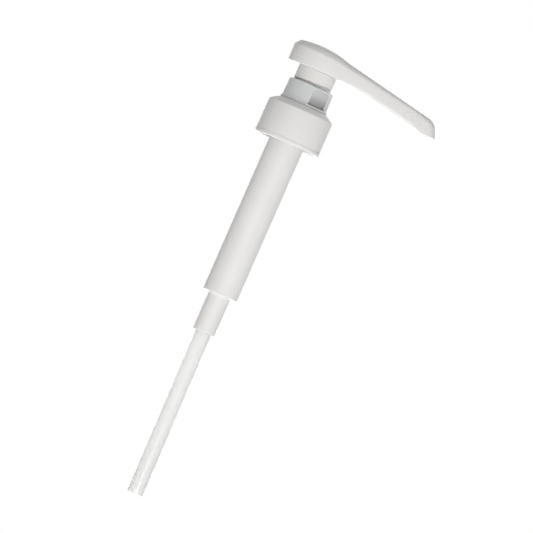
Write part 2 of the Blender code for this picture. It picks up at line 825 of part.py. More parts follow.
def build_foot_valve(plastic, rubber, parent):
    """Plug with its seal and ball seat in the barrel's end, and the dip tube's socket under it."""
    ring_height = plug_top - FOOT_RING_DROP
    half = FOOT_RING_RADIUS + SEAT_GAP
    groove = running_radius - 2 * FOOT_RING_RADIUS - RUN_GAP
    section = [
        (running_radius, plug_top),
        (running_radius, ring_height + half),
        (groove, ring_height + half),
        (groove, ring_height - half),
        (running_radius, ring_height - half),
        (running_radius, barrel_bottom),
        (socket_radius, barrel_bottom),
        (socket_radius, socket_bottom),
        (tube_hole, socket_bottom),
        (tube_hole, tube_stop),
        (inlet_throat, tube_stop),
        (inlet_throat, inlet_seat),
        (cage_bore, inlet_seat + cage_bore - inlet_throat),
        (cage_bore, plug_top),
    ]
    turned_part("foot_valve_body", section, plastic, parent)
    ring = running_radius - FOOT_RING_RADIUS
    ring_part("foot_seal_ring", ring, FOOT_RING_RADIUS, ring_height, rubber, parent)


def build_cage(finish, parent):
    """The inlet ball's cage: flange on the plug, domed roof with a hole, and side windows."""
    roof = inlet_ball_height + inlet_ball_radius + INLET_LIFT + SEAT_GAP
    hole = inlet_throat
    section = [
        (cage_radius, roof + CAGE_ROOF),
        (cage_radius, cage_flange_top),
        (running_radius, cage_flange_top),
        (running_radius, cage_flange_top - CAGE_FLANGE),
        (cage_bore, cage_flange_top - CAGE_FLANGE),
        (cage_bore, roof),
        (hole, roof),
        (hole, roof + CAGE_ROOF),
    ]
    cage = turned_part("inlet_ball_cage", section, finish, parent)
    low = cage_flange_top + SEAT_GAP
    high = roof - SEAT_GAP
    centre = (0.0, 0.0, (low + high) / 2)
    across = 2 * (cage_radius + CUT_MARGIN)
    window_x = box_cutter("cage_window_x", (across, CAGE_WINDOW, high - low), centre)
    window_y = box_cutter("cage_window_y", (CAGE_WINDOW, across, high - low), centre)
    combine(cage, window_x, "DIFFERENCE")
    combine(cage, window_y, "DIFFERENCE")


def build_dip_tube(finish, parent):
    """The tube hangs from its socket, with the slight lean of a tube cut from a coil."""
    pivot = socket_bottom + TUBE_PIVOT
    high = tube_stop - SEAT_GAP - pivot
    section = [
        (TUBE_RADIUS, high),
        (TUBE_RADIUS, high - TUBE_LENGTH),
        (TUBE_RADIUS - TUBE_WALL, high - TUBE_LENGTH),
        (TUBE_RADIUS - TUBE_WALL, high),
    ]
    tube = turned_part("dip_tube", section, finish, parent)
    tube.location.z = pivot - height_of(parent)
    tube.rotation_euler.y = -math.radians(TUBE_LEAN_DEG)


# A ball rests on a seat that slopes at 45 degrees
outlet_ball_height = stem_top - BALL_STOP_THICKNESS - SEAT_GAP - OUTLET_LIFT - outlet_ball_radius
outlet_seat = outlet_ball_height + outlet_throat - math.sqrt(2) * (outlet_ball_radius + SEAT_GAP)
inlet_seat = plug_top - SEAT_DEPTH
inlet_ball_height = inlet_seat - inlet_throat + math.sqrt(2) * (inlet_ball_radius + SEAT_GAP)

clear_scene()
parts = new_collection("condiment_pump")
cutters = new_collection("cutters")

white = finish_of("white_polypropylene", 0.74, 0.73, 0.71, 0.38)
natural = finish_of("natural_polypropylene", 0.58, 0.58, 0.57, 0.42)
clear = finish_of("translucent_polyethylene", 0.84, 0.84, 0.84, 0.35)
soft = finish_of("white_elastomer", 0.62, 0.62, 0.60, 0.60)
steel = finish_of("stainless_steel", 0.62, 0.62, 0.60, 0.25, metallic=1.0)

housing = moving_frame("housing", 0.0)
cap_turn = moving_frame("cap_turn", cap_ceiling, housing)
plunger = moving_frame("plunger", piston_top, housing)
head_turn = moving_frame("head_turn", hub_bottom - piston_top, plunger)
inlet_lift = moving_frame("inlet_lift", inlet_ball_height, housing)
outlet_lift = moving_frame("outlet_lift", outlet_ball_height - hub_bottom, head_turn)

build_head(white, head_turn)
build_lock_sleeve(white, head_turn)
build_stem(natural, head_turn)
build_ball_stop(natural, head_turn)
ring_part(
    "stem_o_ring",
    stem_radius - STEM_RING_RADIUS,
    STEM_RING_RADIUS,
    stem_top - STEM_RING_DROP,
    soft,
    head_turn,
)
ball_part("outlet_ball", outlet_ball_radius, outlet_ball_height, steel, outlet_lift)
build_collar(natural, housing)
build_wiper(soft, housing)
build_cap(white, cap_turn)
build_gasket(soft, housing)
build_barrel(white, housing)
build_piston(soft, natural, steel, plunger)
build_spring(steel, housing)
build_cage(natural, housing)
ball_part("inlet_ball", inlet_ball_radius, inlet_ball_height, steel, inlet_lift)
build_foot_valve(white, soft, housing)
build_dip_tube(clear, housing)

print(f"overall height {(hub_top - tube_stop + SEAT_GAP + TUBE_LENGTH) * 1000:.1f} mm")
print(f"spring seat at {spring_bottom * 1000:.2f} mm, head underside at {hub_bottom * 1000:.2f} mm")
print(f"mouth at {mouth_height * 1000:.2f} mm, tube end at {(tube_stop - TUBE_LENGTH) * 1000:.2f} mm")
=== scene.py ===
# %% [markdown]
# A condiment pump is a stack of plastic pieces on one upright axis: a pressing head with a long
# drooping spout, a lock collar, a screw cap for the jug, a barrel with a piston in it, and a dip
# tube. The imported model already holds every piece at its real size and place. This lesson gives
# each one its fine surface: rounded edges, threads, pockets, and the finish of its material.

# %% Load the frame
import json
import math

import bmesh
import bpy
from mathutils import Matrix, Vector
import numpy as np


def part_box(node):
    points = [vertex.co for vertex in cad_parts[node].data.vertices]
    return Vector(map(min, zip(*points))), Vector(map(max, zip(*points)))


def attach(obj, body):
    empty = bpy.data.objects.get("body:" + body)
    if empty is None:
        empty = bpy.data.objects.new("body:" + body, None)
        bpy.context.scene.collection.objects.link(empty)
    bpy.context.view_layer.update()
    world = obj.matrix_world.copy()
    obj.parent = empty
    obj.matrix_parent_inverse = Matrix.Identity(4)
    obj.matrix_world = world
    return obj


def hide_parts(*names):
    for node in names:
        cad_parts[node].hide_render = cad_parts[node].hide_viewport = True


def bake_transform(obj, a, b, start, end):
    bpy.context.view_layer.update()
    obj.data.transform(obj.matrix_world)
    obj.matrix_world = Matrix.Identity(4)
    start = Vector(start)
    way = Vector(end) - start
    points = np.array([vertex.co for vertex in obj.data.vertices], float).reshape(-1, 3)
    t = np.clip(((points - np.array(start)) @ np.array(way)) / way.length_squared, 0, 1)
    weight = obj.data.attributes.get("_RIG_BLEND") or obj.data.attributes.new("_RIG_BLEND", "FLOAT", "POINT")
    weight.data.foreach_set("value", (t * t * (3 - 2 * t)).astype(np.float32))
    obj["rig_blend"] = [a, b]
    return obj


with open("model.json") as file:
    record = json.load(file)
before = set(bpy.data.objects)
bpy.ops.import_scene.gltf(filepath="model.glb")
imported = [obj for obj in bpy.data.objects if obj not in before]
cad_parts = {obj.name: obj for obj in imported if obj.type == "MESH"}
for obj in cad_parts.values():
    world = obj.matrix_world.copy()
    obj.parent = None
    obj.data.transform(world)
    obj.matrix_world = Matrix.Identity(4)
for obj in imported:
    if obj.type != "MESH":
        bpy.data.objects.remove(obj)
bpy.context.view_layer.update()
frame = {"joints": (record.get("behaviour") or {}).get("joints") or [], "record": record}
MM = 0.001  # sections and sizes below are written in millimetres

# %% [markdown]
# Colours are easiest to choose as the sRGB hex codes of a paint program, but Blender's sockets take
# linear light, so one function turns the one into the other. A second one adds a node, sets its
# options and links its inputs, which keeps each finish below short enough to read like a recipe.

# %% Colours and nodes
def linear(code):
    """The linear RGBA of an sRGB hex code."""
    shares = [int(code[i : i + 2], 16) / 255 for i in (0, 2, 4)]
    return [c / 12.92 if c <= 0.04045 else ((c + 0.055) / 1.055) ** 2.4 for c in shares] + [1.0]


def add(tree, kind, inputs=None, **settings):
    """Adds a node. An input is a value, or another node's output, which is linked."""
    node = tree.nodes.new(kind)
    for name, value in settings.items():
        setattr(node, name, value)
    for name, value in (inputs or {}).items():
        if isinstance(value, bpy.types.NodeSocket):
            tree.links.new(value, node.inputs[name])
        else:
            node.inputs[name].default_value = value
    return node


def blank_finish(name):
    """A material with no nodes in it yet, and its node tree."""
    finish = bpy.data.materials.new(name)
    finish.use_nodes = True
    finish.node_tree.nodes.clear()
    return finish, finish.node_tree


print("E9E8E6 in linear light:", [round(c, 3) for c in linear("E9E8E6")[:3]])

# %% [markdown]
# The head, cap and barrel are injection-moulded polypropylene, filled white. The mould is fairly
# smooth, so the plastic has a soft satin shine, a very slight orange-peel waviness, and paler and
# deeper drifts where the melt flowed. A plain white shader would look like paper. Noise on the
# object's own coordinates, at sizes given in millimetres, drives colour, roughness and bump. The
# collar and the inner mouldings are natural polypropylene without the white filler, so they are
# greyer and let a little light in, and the same recipe makes them from other colours.

# %% Moulded polypropylene
FLOW_DRIFT = 26.0  # length of the drifts in the melt
ORANGE_PEEL = 1.8  # the real waviness is finer, and is drawn this coarse so that it shows
PEEL_DEPTH = 0.02
SHINE_SPREAD = 0.06  # how far the roughness strays either way
LIGHT_SPREAD = (1.0, 0.95, 0.85)  # red light goes furthest into the plastic
POLYPROPYLENE_IOR = 1.49


def moulded_polypropylene(name, pale, deep, roughness, milkiness, depth_of_light):
    finish, tree = blank_finish(name)
    place = add(tree, "ShaderNodeTexCoord").outputs["Object"]
    drift = add(
        tree,
        "ShaderNodeTexNoise",
        {"Vector": place, "Scale": 1 / (FLOW_DRIFT * MM), "Detail": 3.0},
    ).outputs["Fac"]
    tint = add(
        tree,
        "ShaderNodeMix",
        {"Factor": drift, 6: linear(pale), 7: linear(deep)},
        data_type="RGBA",
    ).outputs[2]
    peel = add(
        tree,
        "ShaderNodeTexNoise",
        {"Vector": place, "Scale": 1 / (ORANGE_PEEL * MM), "Detail": 2.0},
    ).outputs["Fac"]
    shine = add(
        tree,
        "ShaderNodeMapRange",
        {"Value": peel, "To Min": roughness - SHINE_SPREAD, "To Max": roughness + SHINE_SPREAD},
    ).outputs["Result"]
    waves = add(
        tree,
        "ShaderNodeBump",
        {"Height": peel, "Strength": 0.25, "Distance": PEEL_DEPTH * MM},
    ).outputs["Normal"]
    shader = add(
        tree,
        "ShaderNodeBsdfPrincipled",
        {
            "Base Color": tint,
            "Roughness": shine,
            "Normal": waves,
            "IOR": POLYPROPYLENE_IOR,
            "Subsurface Weight": milkiness,
            "Subsurface Radius": LIGHT_SPREAD,
            "Subsurface Scale": depth_of_light * MM,
        },
    )
    add(tree, "ShaderNodeOutputMaterial", {"Surface": shader.outputs["BSDF"]})
    return finish


white_plastic = moulded_polypropylene(
    "moulded_white_polypropylene",
    pale="E9E8E6",
    deep="DFDEDC",
    roughness=0.5,
    milkiness=0.2,
    depth_of_light=0.8,
)
natural_plastic = moulded_polypropylene(
    "moulded_natural_polypropylene",
    pale="DADBDB",
    deep="D0D1D2",
    roughness=0.4,
    milkiness=0.7,
    depth_of_light=4.0,
)
print("made", white_plastic.name, "and", natural_plastic.name)

# %% [markdown]
# The dip tube is extruded low-density polyethylene: milky, half clear, and drawn out of a die, so
# it carries faint streaks along its length. A noise that is stretched sixty times along the tube
# gives the streaks. Part of the light passes through the wall, which is why the middle of the tube
# looks nearly as bright as what is behind it while its edges, where the wall is seen along its
# depth, look greyer.

# %% Extruded polyethylene
STREAK_WIDTH = 1.1
STREAK_STRETCH = 60.0
STREAK_DEPTH = 0.03
TUBE_SHINE = (0.26, 0.34)  # roughness in and between the streaks
TUBE_CLEARNESS = 0.95
POLYETHYLENE_IOR = 1.51


def extruded_polyethylene(name):
    finish, tree = blank_finish(name)
    place = add(tree, "ShaderNodeTexCoord").outputs["Object"]
    drawn = add(
        tree,
        "ShaderNodeMapping",
        {"Vector": place, "Scale": (1.0, 1.0, 1 / STREAK_STRETCH)},
    ).outputs["Vector"]
    streak = add(
        tree,
        "ShaderNodeTexNoise",
        {"Vector": drawn, "Scale": 1 / (STREAK_WIDTH * MM), "Detail": 3.0},
    ).outputs["Fac"]
    tint = add(
        tree,
        "ShaderNodeMix",
        {"Factor": streak, 6: linear("F8F8F6"), 7: linear("F0F1F0")},
        data_type="RGBA",
    ).outputs[2]
    shine = add(
        tree,
        "ShaderNodeMapRange",
        {"Value": streak, "To Min": TUBE_SHINE[0], "To Max": TUBE_SHINE[1]},
    ).outputs["Result"]
    lines = add(
        tree,
        "ShaderNodeBump",
        {"Height": streak, "Strength": 0.3, "Distance": STREAK_DEPTH * MM},
    ).outputs["Normal"]
    shader = add(
        tree,
        "ShaderNodeBsdfPrincipled",
        {
            "Base Color": tint,
            "Roughness": shine,
            "Normal": lines,
            "IOR": POLYETHYLENE_IOR,
            "Transmission Weight": TUBE_CLEARNESS,
        },
    )
    add(tree, "ShaderNodeOutputMaterial", {"Surface": shader.outputs["BSDF"]})
    return finish


milky_tube = extruded_polyethylene("extruded_milky_polyethylene")
print("made", milky_tube.name)

# %% [markdown]
# The seals are white food-grade silicone rubber, moulded and matt, with the fine tooth of a blasted
# mould. The balls, the spring and its plate are stainless steel: the wire was pulled through a die
# and the balls were ground, so their shine breaks up along fine lines. Tooth and lines are finer on
# the real pieces, and are drawn this coarse so that they show. A metal keeps Blender's default IOR.

# %% Rubber and steel
RUBBER_TOOTH = 0.5
RUBBER_TOOTH_DEPTH = 0.03
RUBBER_ROUGHNESS = 0.68
SILICONE_IOR = 1.41
WIRE_LINES = 0.4
WIRE_SHINE = (0.18, 0.34)  # roughness on and between the lines


def moulded_rubber(name):
    finish, tree = blank_finish(name)
    place = add(tree, "ShaderNodeTexCoord").outputs["Object"]
    tooth = add(
        tree,
        "ShaderNodeTexNoise",
        {"Vector": place, "Scale": 1 / (RUBBER_TOOTH * MM), "Detail": 4.0},
    ).outputs["Fac"]
    tint = add(
        tree,
        "ShaderNodeMix",
        {"Factor": tooth, 6: linear("DBDAD6"), 7: linear("CBCAC6")},
        data_type="RGBA",
    ).outputs[2]
    grain = add(
        tree,
        "ShaderNodeBump",
        {"Height": tooth, "Strength": 0.35, "Distance": RUBBER_TOOTH_DEPTH * MM},
    ).outputs["Normal"]
    shader = add(
        tree,
        "ShaderNodeBsdfPrincipled",
        {
            "Base Color": tint,
            "Roughness": RUBBER_ROUGHNESS,
            "Normal": grain,
            "IOR": SILICONE_IOR,
        },
    )
    add(tree, "ShaderNodeOutputMaterial", {"Surface": shader.outputs["BSDF"]})
    return finish


def drawn_steel(name):
    finish, tree = blank_finish(name)
    place = add(tree, "ShaderNodeTexCoord").outputs["Object"]
    lines = add(
        tree,
        "ShaderNodeTexNoise",
        {"Vector": place, "Scale": 1 / (WIRE_LINES * MM), "Detail": 3.0},
    ).outputs["Fac"]
    tint = add(
        tree,
        "ShaderNodeMix",
        {"Factor": lines, 6: linear("C9C8C5"), 7: linear("B9B8B5")},
        data_type="RGBA",
    ).outputs[2]
    shine = add(
        tree,
        "ShaderNodeMapRange",
        {"Value": lines, "To Min": WIRE_SHINE[0], "To Max": WIRE_SHINE[1]},
    ).outputs["Result"]
    shader = add(
        tree,
        "ShaderNodeBsdfPrincipled",
        {"Base Color": tint, "Roughness": shine, "Metallic": 1.0},
    )
    add(tree, "ShaderNodeOutputMaterial", {"Surface": shader.outputs["BSDF"]})
    return finish


finish_for_slot = {
    "white_polypropylene": white_plastic,
    "natural_polypropylene": natural_plastic,
    "translucent_polyethylene": milky_tube,
    "white_elastomer": moulded_rubber("moulded_white_silicone"),
    "stainless_steel": drawn_steel("drawn_stainless_steel"),
}
print("finishes for", ", ".join(finish_for_slot))

# %% [markdown]
# Nearly every piece here was turned or moulded round, so most can be made from half of its section:
# a loop of corners, each with its radius, height and rounding. Spin sweeps the loop round the axis.
# A lathe profile with a Screw modifier would do the same, but with the mesh in hand each ring of
# corner edges can take its own bevel, and real mouldings have a different round on every edge.

# %% Turn a section
ROUND_STEPS = 112  # faces round the axis
EDGE_STEPS = 4  # faces across a rounded edge
TOUCH = 0.002 * MM  # points that lie closer than this are one point


def on_ring(vert, radius, height):
    """Whether a vertex lies on the circle that a corner of the section makes."""
    away = math.hypot(vert.co.x, vert.co.y) - radius * MM
    return abs(away) < TOUCH and abs(vert.co.z - height * MM) < TOUCH


def turn(section, steps=ROUND_STEPS, closed=True):
    """Spins corners of (radius, height, rounding) round the pump's axis."""
    form = bmesh.new()
    corners = [form.verts.new((radius * MM, 0.0, height * MM)) for radius, height, _ in section]
    pairs = list(zip(corners, corners[1:]))
    if closed:
        pairs.append((corners[-1], corners[0]))
    edges = [form.edges.new(pair) for pair in pairs]
    bmesh.ops.spin(
        form,
        geom=corners + edges,
        axis=(0.0, 0.0, 1.0),
        angle=math.tau,
        steps=steps,
        use_merge=True,
    )
    bmesh.ops.remove_doubles(form, verts=form.verts, dist=TOUCH / 2)
    bmesh.ops.recalc_face_normals(form, faces=form.faces)
    for radius, height, rounding in section:
        if rounding:
            ring = [e for e in form.edges if all(on_ring(v, radius, height) for v in e.verts)]
            bmesh.ops.bevel(
                form,
                geom=ring,
                offset=rounding * MM,
                affect="EDGES",
                segments=EDGE_STEPS,
                profile=0.5,
                material=-1,
            )
    return form


def sleeve(bore, outer, low, high, roundings):
    """A plain ring or tube. Its roundings go from the lower inner corner outwards and up."""
    corners = ((bore, low), (outer, low), (outer, high), (bore, high))
    return turn([(*corner, rounding) for corner, rounding in zip(corners, roundings)])


def reach(node):
    """The outer radius, lowest and highest height of a CAD node, in millimetres."""
    low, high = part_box(node)
    return high.x / MM, low.z / MM, high.z / MM


print("cap:", [round(size, 2) for size in reach("closure")])

# %% [markdown]
# A finished form becomes an object at the origin, with its place in its mesh. It is shaded smooth
# and keeps its real edges sharp. It moves with the body of the CAD node that it stands for, and
# takes the finish of that node's material slot, so both are looked up in the record.

# %% Seat a piece
SHARP_EDGE = math.radians(38.0)
record = frame["record"]
body_of = {node: body for body, nodes in record["behaviour"]["bodies"].items() for node in nodes}
slot_of = {part["node"]: part["material_slot"] for part in record["subparts"]}


def new_object(form, name):
    mesh = bpy.data.meshes.new(name)
    form.to_mesh(mesh)
    form.free()
    item = bpy.data.objects.new(name, mesh)
    bpy.context.scene.collection.objects.link(item)
    return item


def seat(form, name, node, finish=None):
    """Makes the form a piece of the pump that stands for a CAD node."""
    piece = new_object(form, name)
    piece.data.shade_smooth()
    piece.data.set_sharp_from_angle(angle=SHARP_EDGE)
    piece.data.materials.append(finish or finish_for_slot[slot_of[node]])
    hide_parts(node)
    print(f"{name}: {len(piece.data.polygons)} faces, stands for {node}")
    return piece


def ride(piece, node):
    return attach(piece, body_of[node])


# %% [markdown]
# Holes, pockets and small lugs are cut or added with Booleans. They run here on two loose forms, and
# the result goes back into a form, so that nothing is left behind in the scene and the next step
# can still work on the mesh.

# %% Cut and join forms
def combined(form, tool, operation="DIFFERENCE"):
    """The form with the tool cut away from it or joined to it."""
    work = new_object(form, "work")
    other = new_object(tool, "tool")
    boolean = work.modifiers.new("cut", "BOOLEAN")
    boolean.object = other
    boolean.operation = operation
    boolean.solver = "EXACT"
    graph = bpy.context.evaluated_depsgraph_get()
    result = bmesh.new()
    result.from_mesh(work.evaluated_get(graph).to_mesh())
    for item in (work, other):
        mesh = item.data
        bpy.data.objects.remove(item)
        bpy.data.meshes.remove(mesh)
    bmesh.ops.remove_doubles(result, verts=result.verts, dist=TOUCH / 2)
    return result


def drill(start, end, start_radius, end_radius, steps=48):
    """A round bar between two points, all in millimetres."""
    axis = Vector(end) - Vector(start)
    form = bmesh.new()
    bmesh.ops.create_cone(
        form,
        cap_ends=True,
        segments=steps,
        radius1=start_radius * MM,
        radius2=end_radius * MM,
        depth=axis.length * MM,
    )
    bmesh.ops.rotate(form, verts=form.verts, matrix=axis.to_track_quat("Z", "Y").to_matrix())
    bmesh.ops.translate(form, verts=form.verts, vec=(Vector(start) + Vector(end)) / 2 * MM)
    return form


print("cutting helpers ready")

# %% [markdown]
# The cap has a thread ridge inside, the neck has the groove that locks the pump for shipping, and
# the spring is a coil. All three are one small outline swept along a right-hand helix. A curve with
# a bevel object could do that too. Spin does it in one call, as it can climb a little at each step.

# %% Sweep a helix
COIL_STEPS = 80  # steps in one turn


def helix(outline, start_deg, pitch, turns):
    """Sweeps a closed outline of (radius, height) round the axis and up."""
    form = bmesh.new()
    corners = [form.verts.new((radius * MM, 0.0, height * MM)) for radius, height in outline]
    edges = [form.edges.new(pair) for pair in zip(corners, corners[1:] + corners[:1])]
    bmesh.ops.spin(
        form,
        geom=corners + edges,
        axis=(0.0, 0.0, 1.0),
        dvec=(0.0, 0.0, pitch / COIL_STEPS * MM),
        angle=math.tau * turns,
        steps=round(turns * COIL_STEPS),
    )
    bmesh.ops.holes_fill(form, edges=form.edges[:])
    bmesh.ops.rotate(form, verts=form.verts, matrix=Matrix.Rotation(math.radians(start_deg), 3, "Z"))
    bmesh.ops.recalc_face_normals(form, faces=form.faces)
    return form


def thread_outline(root, crest, height, width):
    """A thread's section: wide at its root radius and half as wide at its crest."""
    half, tip = width / 2, width / 4
    return [
        (root, height - half),
        (crest, height - tip),
        (crest, height + tip),
        (root, height + half),
    ]


print("helix helpers ready")

# %% [markdown]
# The screw cap has a plain skirt, a shoulder that slopes up to the hole for the collar, and a fine
# groove near the rim where a band is set off. The lower edge is well rounded and catches light.

# %% Screw cap
CAP_HOLE = 14.8
CAP_BORE = 18.8
CAP_CEILING = 3.7
CAP_CORNER = 4.9
SHOULDER_CROWN = 0.2  # how far the middle of the shoulder stands out
BAND_HEIGHT = 2.6
BAND_PROUD = 0.15
BAND_GROOVE = 0.22
CAP_DRAFT = 0.1
THREAD_PITCH = 4.2
THREAD_TURNS = 1.25
THREAD_START = -90.0
THREAD_LIFT = 3.0
THREAD_WIDTH = 2.4
THREAD_RISE = 0.85
THREAD_ROOT = 0.3  # how deep the ridge is sunk into the wall

cap_band, cap_rim, cap_top = reach("closure")
cap_side = cap_band - BAND_PROUD
band_top = cap_rim + BAND_HEIGHT
shoulder_radius = (CAP_HOLE + cap_side) / 2 + SHOULDER_CROWN
shoulder_height = (CAP_CORNER + cap_top) / 2 + SHOULDER_CROWN
cap = turn(
    [
        (CAP_HOLE, cap_top, 0.3),
        (shoulder_radius, shoulder_height, 0.7),
        (cap_side - CAP_DRAFT, CAP_CORNER, 0.4),
        (cap_side, band_top + BAND_GROOVE, 0.05),
        (cap_side - BAND_GROOVE, band_top, 0.05),
        (cap_band, band_top - BAND_GROOVE, 0.05),
        (cap_band, cap_rim, 0.85),
        (CAP_BORE, cap_rim, 1.0),
        (CAP_BORE, CAP_CEILING, 0.5),
        (CAP_HOLE, CAP_CEILING, 0.15),
    ]
)
outline = thread_outline(
    CAP_BORE + THREAD_ROOT, CAP_BORE - THREAD_RISE, cap_rim + THREAD_LIFT, THREAD_WIDTH
)
ridge = helix(outline, THREAD_START, THREAD_PITCH, THREAD_TURNS)
ride(seat(combined(cap, ridge, "UNION"), "screw_cap", "closure"), "closure")

# %% [markdown]
# A soft washer inside the cap seals on the jug's lip. It is a plain ring with slightly worn edges.

# %% Sealing washer
WASHER_BORE = 11.3
WASHER_WEAR = 0.25
washer_radius, washer_low, washer_high = reach("neck_gasket")
washer = sleeve(WASHER_BORE, washer_radius, washer_low, washer_high, [WASHER_WEAR] * 4)
ride(seat(washer, "sealing_washer", "neck_gasket"), "neck_gasket")

# %% [markdown]
# The collar is snapped into the barrel through the cap, and the neck screws down into it. It is a
# cup with a bead over the cap, a spigot below, and two pockets in its side where the moulder saved
# plastic. A pocket starts as a flat plate with two round corners. The plate is cut into strips,
# thickened, and wrapped round the collar, and the wrapped plate is cut away. Each pocket gets
# deeper downwards. A small lug stands on the bead beside it.

# %% Lock collar
STEM_GUIDE = 6.5
COLLAR_BORE = 12.3
COLLAR_TOP_RADIUS = 14.05
COLLAR_BASE_RADIUS = 14.5
SPIGOT_RADIUS = 9.45
SNAP_GAP = 0.3
BEAD_THICKNESS = 0.8
BEAD_LOW = cap_top + SNAP_GAP
BEAD_HIGH = BEAD_LOW + BEAD_THICKNESS
COLLAR_FLOOR = 11.9
WIPER_FLOOR = 10.0
WIPER_POCKET = 8.7

bead_radius, spigot_low, collar_top = reach("chaplet")
collar = turn(
    [
        (COLLAR_BORE, collar_top, 0.4),
        (COLLAR_TOP_RADIUS, collar_top, 0.9),
        (COLLAR_BASE_RADIUS, BEAD_HIGH, 0.15),
        (bead_radius, BEAD_HIGH, 0.3),
        (bead_radius, BEAD_LOW, 0.3),
        (COLLAR_BASE_RADIUS, BEAD_LOW, 0.0),
        (COLLAR_BASE_RADIUS, CAP_CEILING, 0.3),
        (SPIGOT_RADIUS, CAP_CEILING, 0.2),
        (SPIGOT_RADIUS, spigot_low, 0.5),
        (STEM_GUIDE, spigot_low, 0.3),
        (STEM_GUIDE, WIPER_FLOOR, 0.0),
        (WIPER_POCKET, WIPER_FLOOR, 0.0),
        (WIPER_POCKET, COLLAR_FLOOR, 0.2),
        (COLLAR_BORE, COLLAR_FLOOR, 0.3),
    ]
)
print("collar without pockets:", len(collar.faces), "faces")

# %% Pocket of the collar
POCKET_WIDTH = 13.6
POCKET_CORNER = 3.0
POCKET_BRIM = 1.2
POCKET_STRIPS = 14
POCKET_BANDS = 10
POCKET_SHALLOW = 0.6
POCKET_DEEP = 2.6
POCKET_FLARE = 0.5
POCKET_LIFT = 0.1
POCKET_OVERCUT = 1.0
POCKET_TURN = -53.5
CORNER_STEPS = 6


def wrapped(vert, turn_deg, radius):
    """Bends a flat plate round the axis: its width becomes an arc at the collar's side."""
    angle = math.radians(turn_deg) + vert.co.x / (COLLAR_BASE_RADIUS * MM)
    return Vector((radius * MM * math.cos(angle), radius * MM * math.sin(angle), vert.co.z))


def pocket_plate(turn_deg):
    form = bmesh.new()
    half = POCKET_WIDTH / 2
    low, high = BEAD_HIGH + POCKET_LIFT, collar_top - POCKET_BRIM
    outline = ((-half, low), (half, low), (half, high), (-half, high))
    corners = [form.verts.new((x * MM, 0.0, z * MM)) for x, z in outline]
    form.faces.new(corners)
    bmesh.ops.bevel(
        form,
        geom=corners[2:],
        offset=POCKET_CORNER * MM,
        affect="VERTICES",
        segments=CORNER_STEPS,
        profile=0.5,
        material=-1,
    )
    cuts = []
    for i in range(1, POCKET_STRIPS):
        cuts.append(((i / POCKET_STRIPS - 0.5) * POCKET_WIDTH, (1.0, 0.0, 0.0)))
    for i in range(1, POCKET_BANDS):
        cuts.append((low + (high - low) * i / POCKET_BANDS, (0.0, 0.0, 1.0)))
    for place, normal in cuts:
        bmesh.ops.bisect_plane(
            form,
            geom=form.verts[:] + form.edges[:] + form.faces[:],
            plane_co=Vector(normal) * place * MM,
            plane_no=normal,
        )
    floor = form.verts[:]
    swept = bmesh.ops.extrude_face_region(form, geom=form.faces[:])
    mouth = [item for item in swept["geom"] if isinstance(item, bmesh.types.BMVert)]
    for vert in floor:
        share = (vert.co.z / MM - BEAD_HIGH) / (collar_top - BEAD_HIGH)
        side = COLLAR_BASE_RADIUS + (COLLAR_TOP_RADIUS - COLLAR_BASE_RADIUS) * share
        depth = POCKET_SHALLOW + (POCKET_DEEP - POCKET_SHALLOW) * (1 - share) ** 2
        vert.co = wrapped(vert, turn_deg, side - depth)
    for vert in mouth:
        vert.co.x *= 1 + POCKET_FLARE / half
        vert.co = wrapped(vert, turn_deg, bead_radius + POCKET_OVERCUT)
    bmesh.ops.recalc_face_normals(form, faces=form.faces)
    return form


print("pocket", POCKET_WIDTH, "mm wide and up to", POCKET_DEEP, "mm deep")

# %% Lugs of the collar
LUG_TURN = -107.5
LUG_SIZE = (2.2, 1.6, 1.5)
LUG_ROUND = 0.35
LUG_LIFT = 0.3


def lug(turn_deg):
    form = bmesh.new()
    bmesh.ops.create_cube(form, size=MM)
    bmesh.ops.scale(form, verts=form.verts, vec=LUG_SIZE)
    bmesh.ops.bevel(
        form,
        geom=form.edges[:],
        offset=LUG_ROUND * MM,
        affect="EDGES",
        segments=3,
        profile=0.5,
        material=-1,
    )
    place = Vector((COLLAR_BASE_RADIUS, 0.0, BEAD_HIGH + LUG_LIFT))
    bmesh.ops.translate(form, verts=form.verts, vec=place * MM)
    bmesh.ops.rotate(form, verts=form.verts, matrix=Matrix.Rotation(math.radians(turn_deg), 3, "Z"))
    return form


for half_turn in (0.0, 180.0):
    collar = combined(collar, pocket_plate(POCKET_TURN + half_turn))
    collar = combined(collar, lug(LUG_TURN + half_turn), "UNION")
print("collar with pockets:", len(collar.faces), "faces")

# %% [markdown]
# Natural polypropylene is milky, and where the pocket walls are thin, light leaks through them.
# The floors of the pockets also lie in shade, most of all at the bottom, where they are deepest.
# Tracing that light would be slow, so a copy of the finish paints the shade in: it greys the
# plastic by its distance from the axis, which on a round piece is how deep a surface is sunk.

# %% Natural polypropylene with painted shade in the pockets
UNSHADED_RADIUS = 13.7  # from this radius outwards the plastic keeps its own colour
DARKEST_SHADE_RADIUS = 12.9  # and from this one inwards the painted shade is at its darkest

# A copy of the natural finish that carries painted shade on the pocket floors.
pocket_shaded_plastic = natural_plastic.copy()
pocket_shaded_plastic.name = "natural_polypropylene_painted_pocket_shade"
tree = pocket_shaded_plastic.node_tree
shader = tree.nodes["Principled BSDF"]
unshaded_tint = shader.inputs["Base Color"].links[0].from_socket
place = add(tree, "ShaderNodeTexCoord").outputs["Object"]
across = add(
    tree,
    "ShaderNodeVectorMath",
    {0: place, 1: (1.0, 1.0, 0.0)},
    operation="MULTIPLY",
).outputs[0]
radius = add(tree, "ShaderNodeVectorMath", {0: across}, operation="LENGTH").outputs["Value"]
painted_shade = add(
    tree,
    "ShaderNodeMapRange",
    {"Value": radius, "From Min": UNSHADED_RADIUS * MM, "From Max": DARKEST_SHADE_RADIUS * MM},
).outputs["Result"]
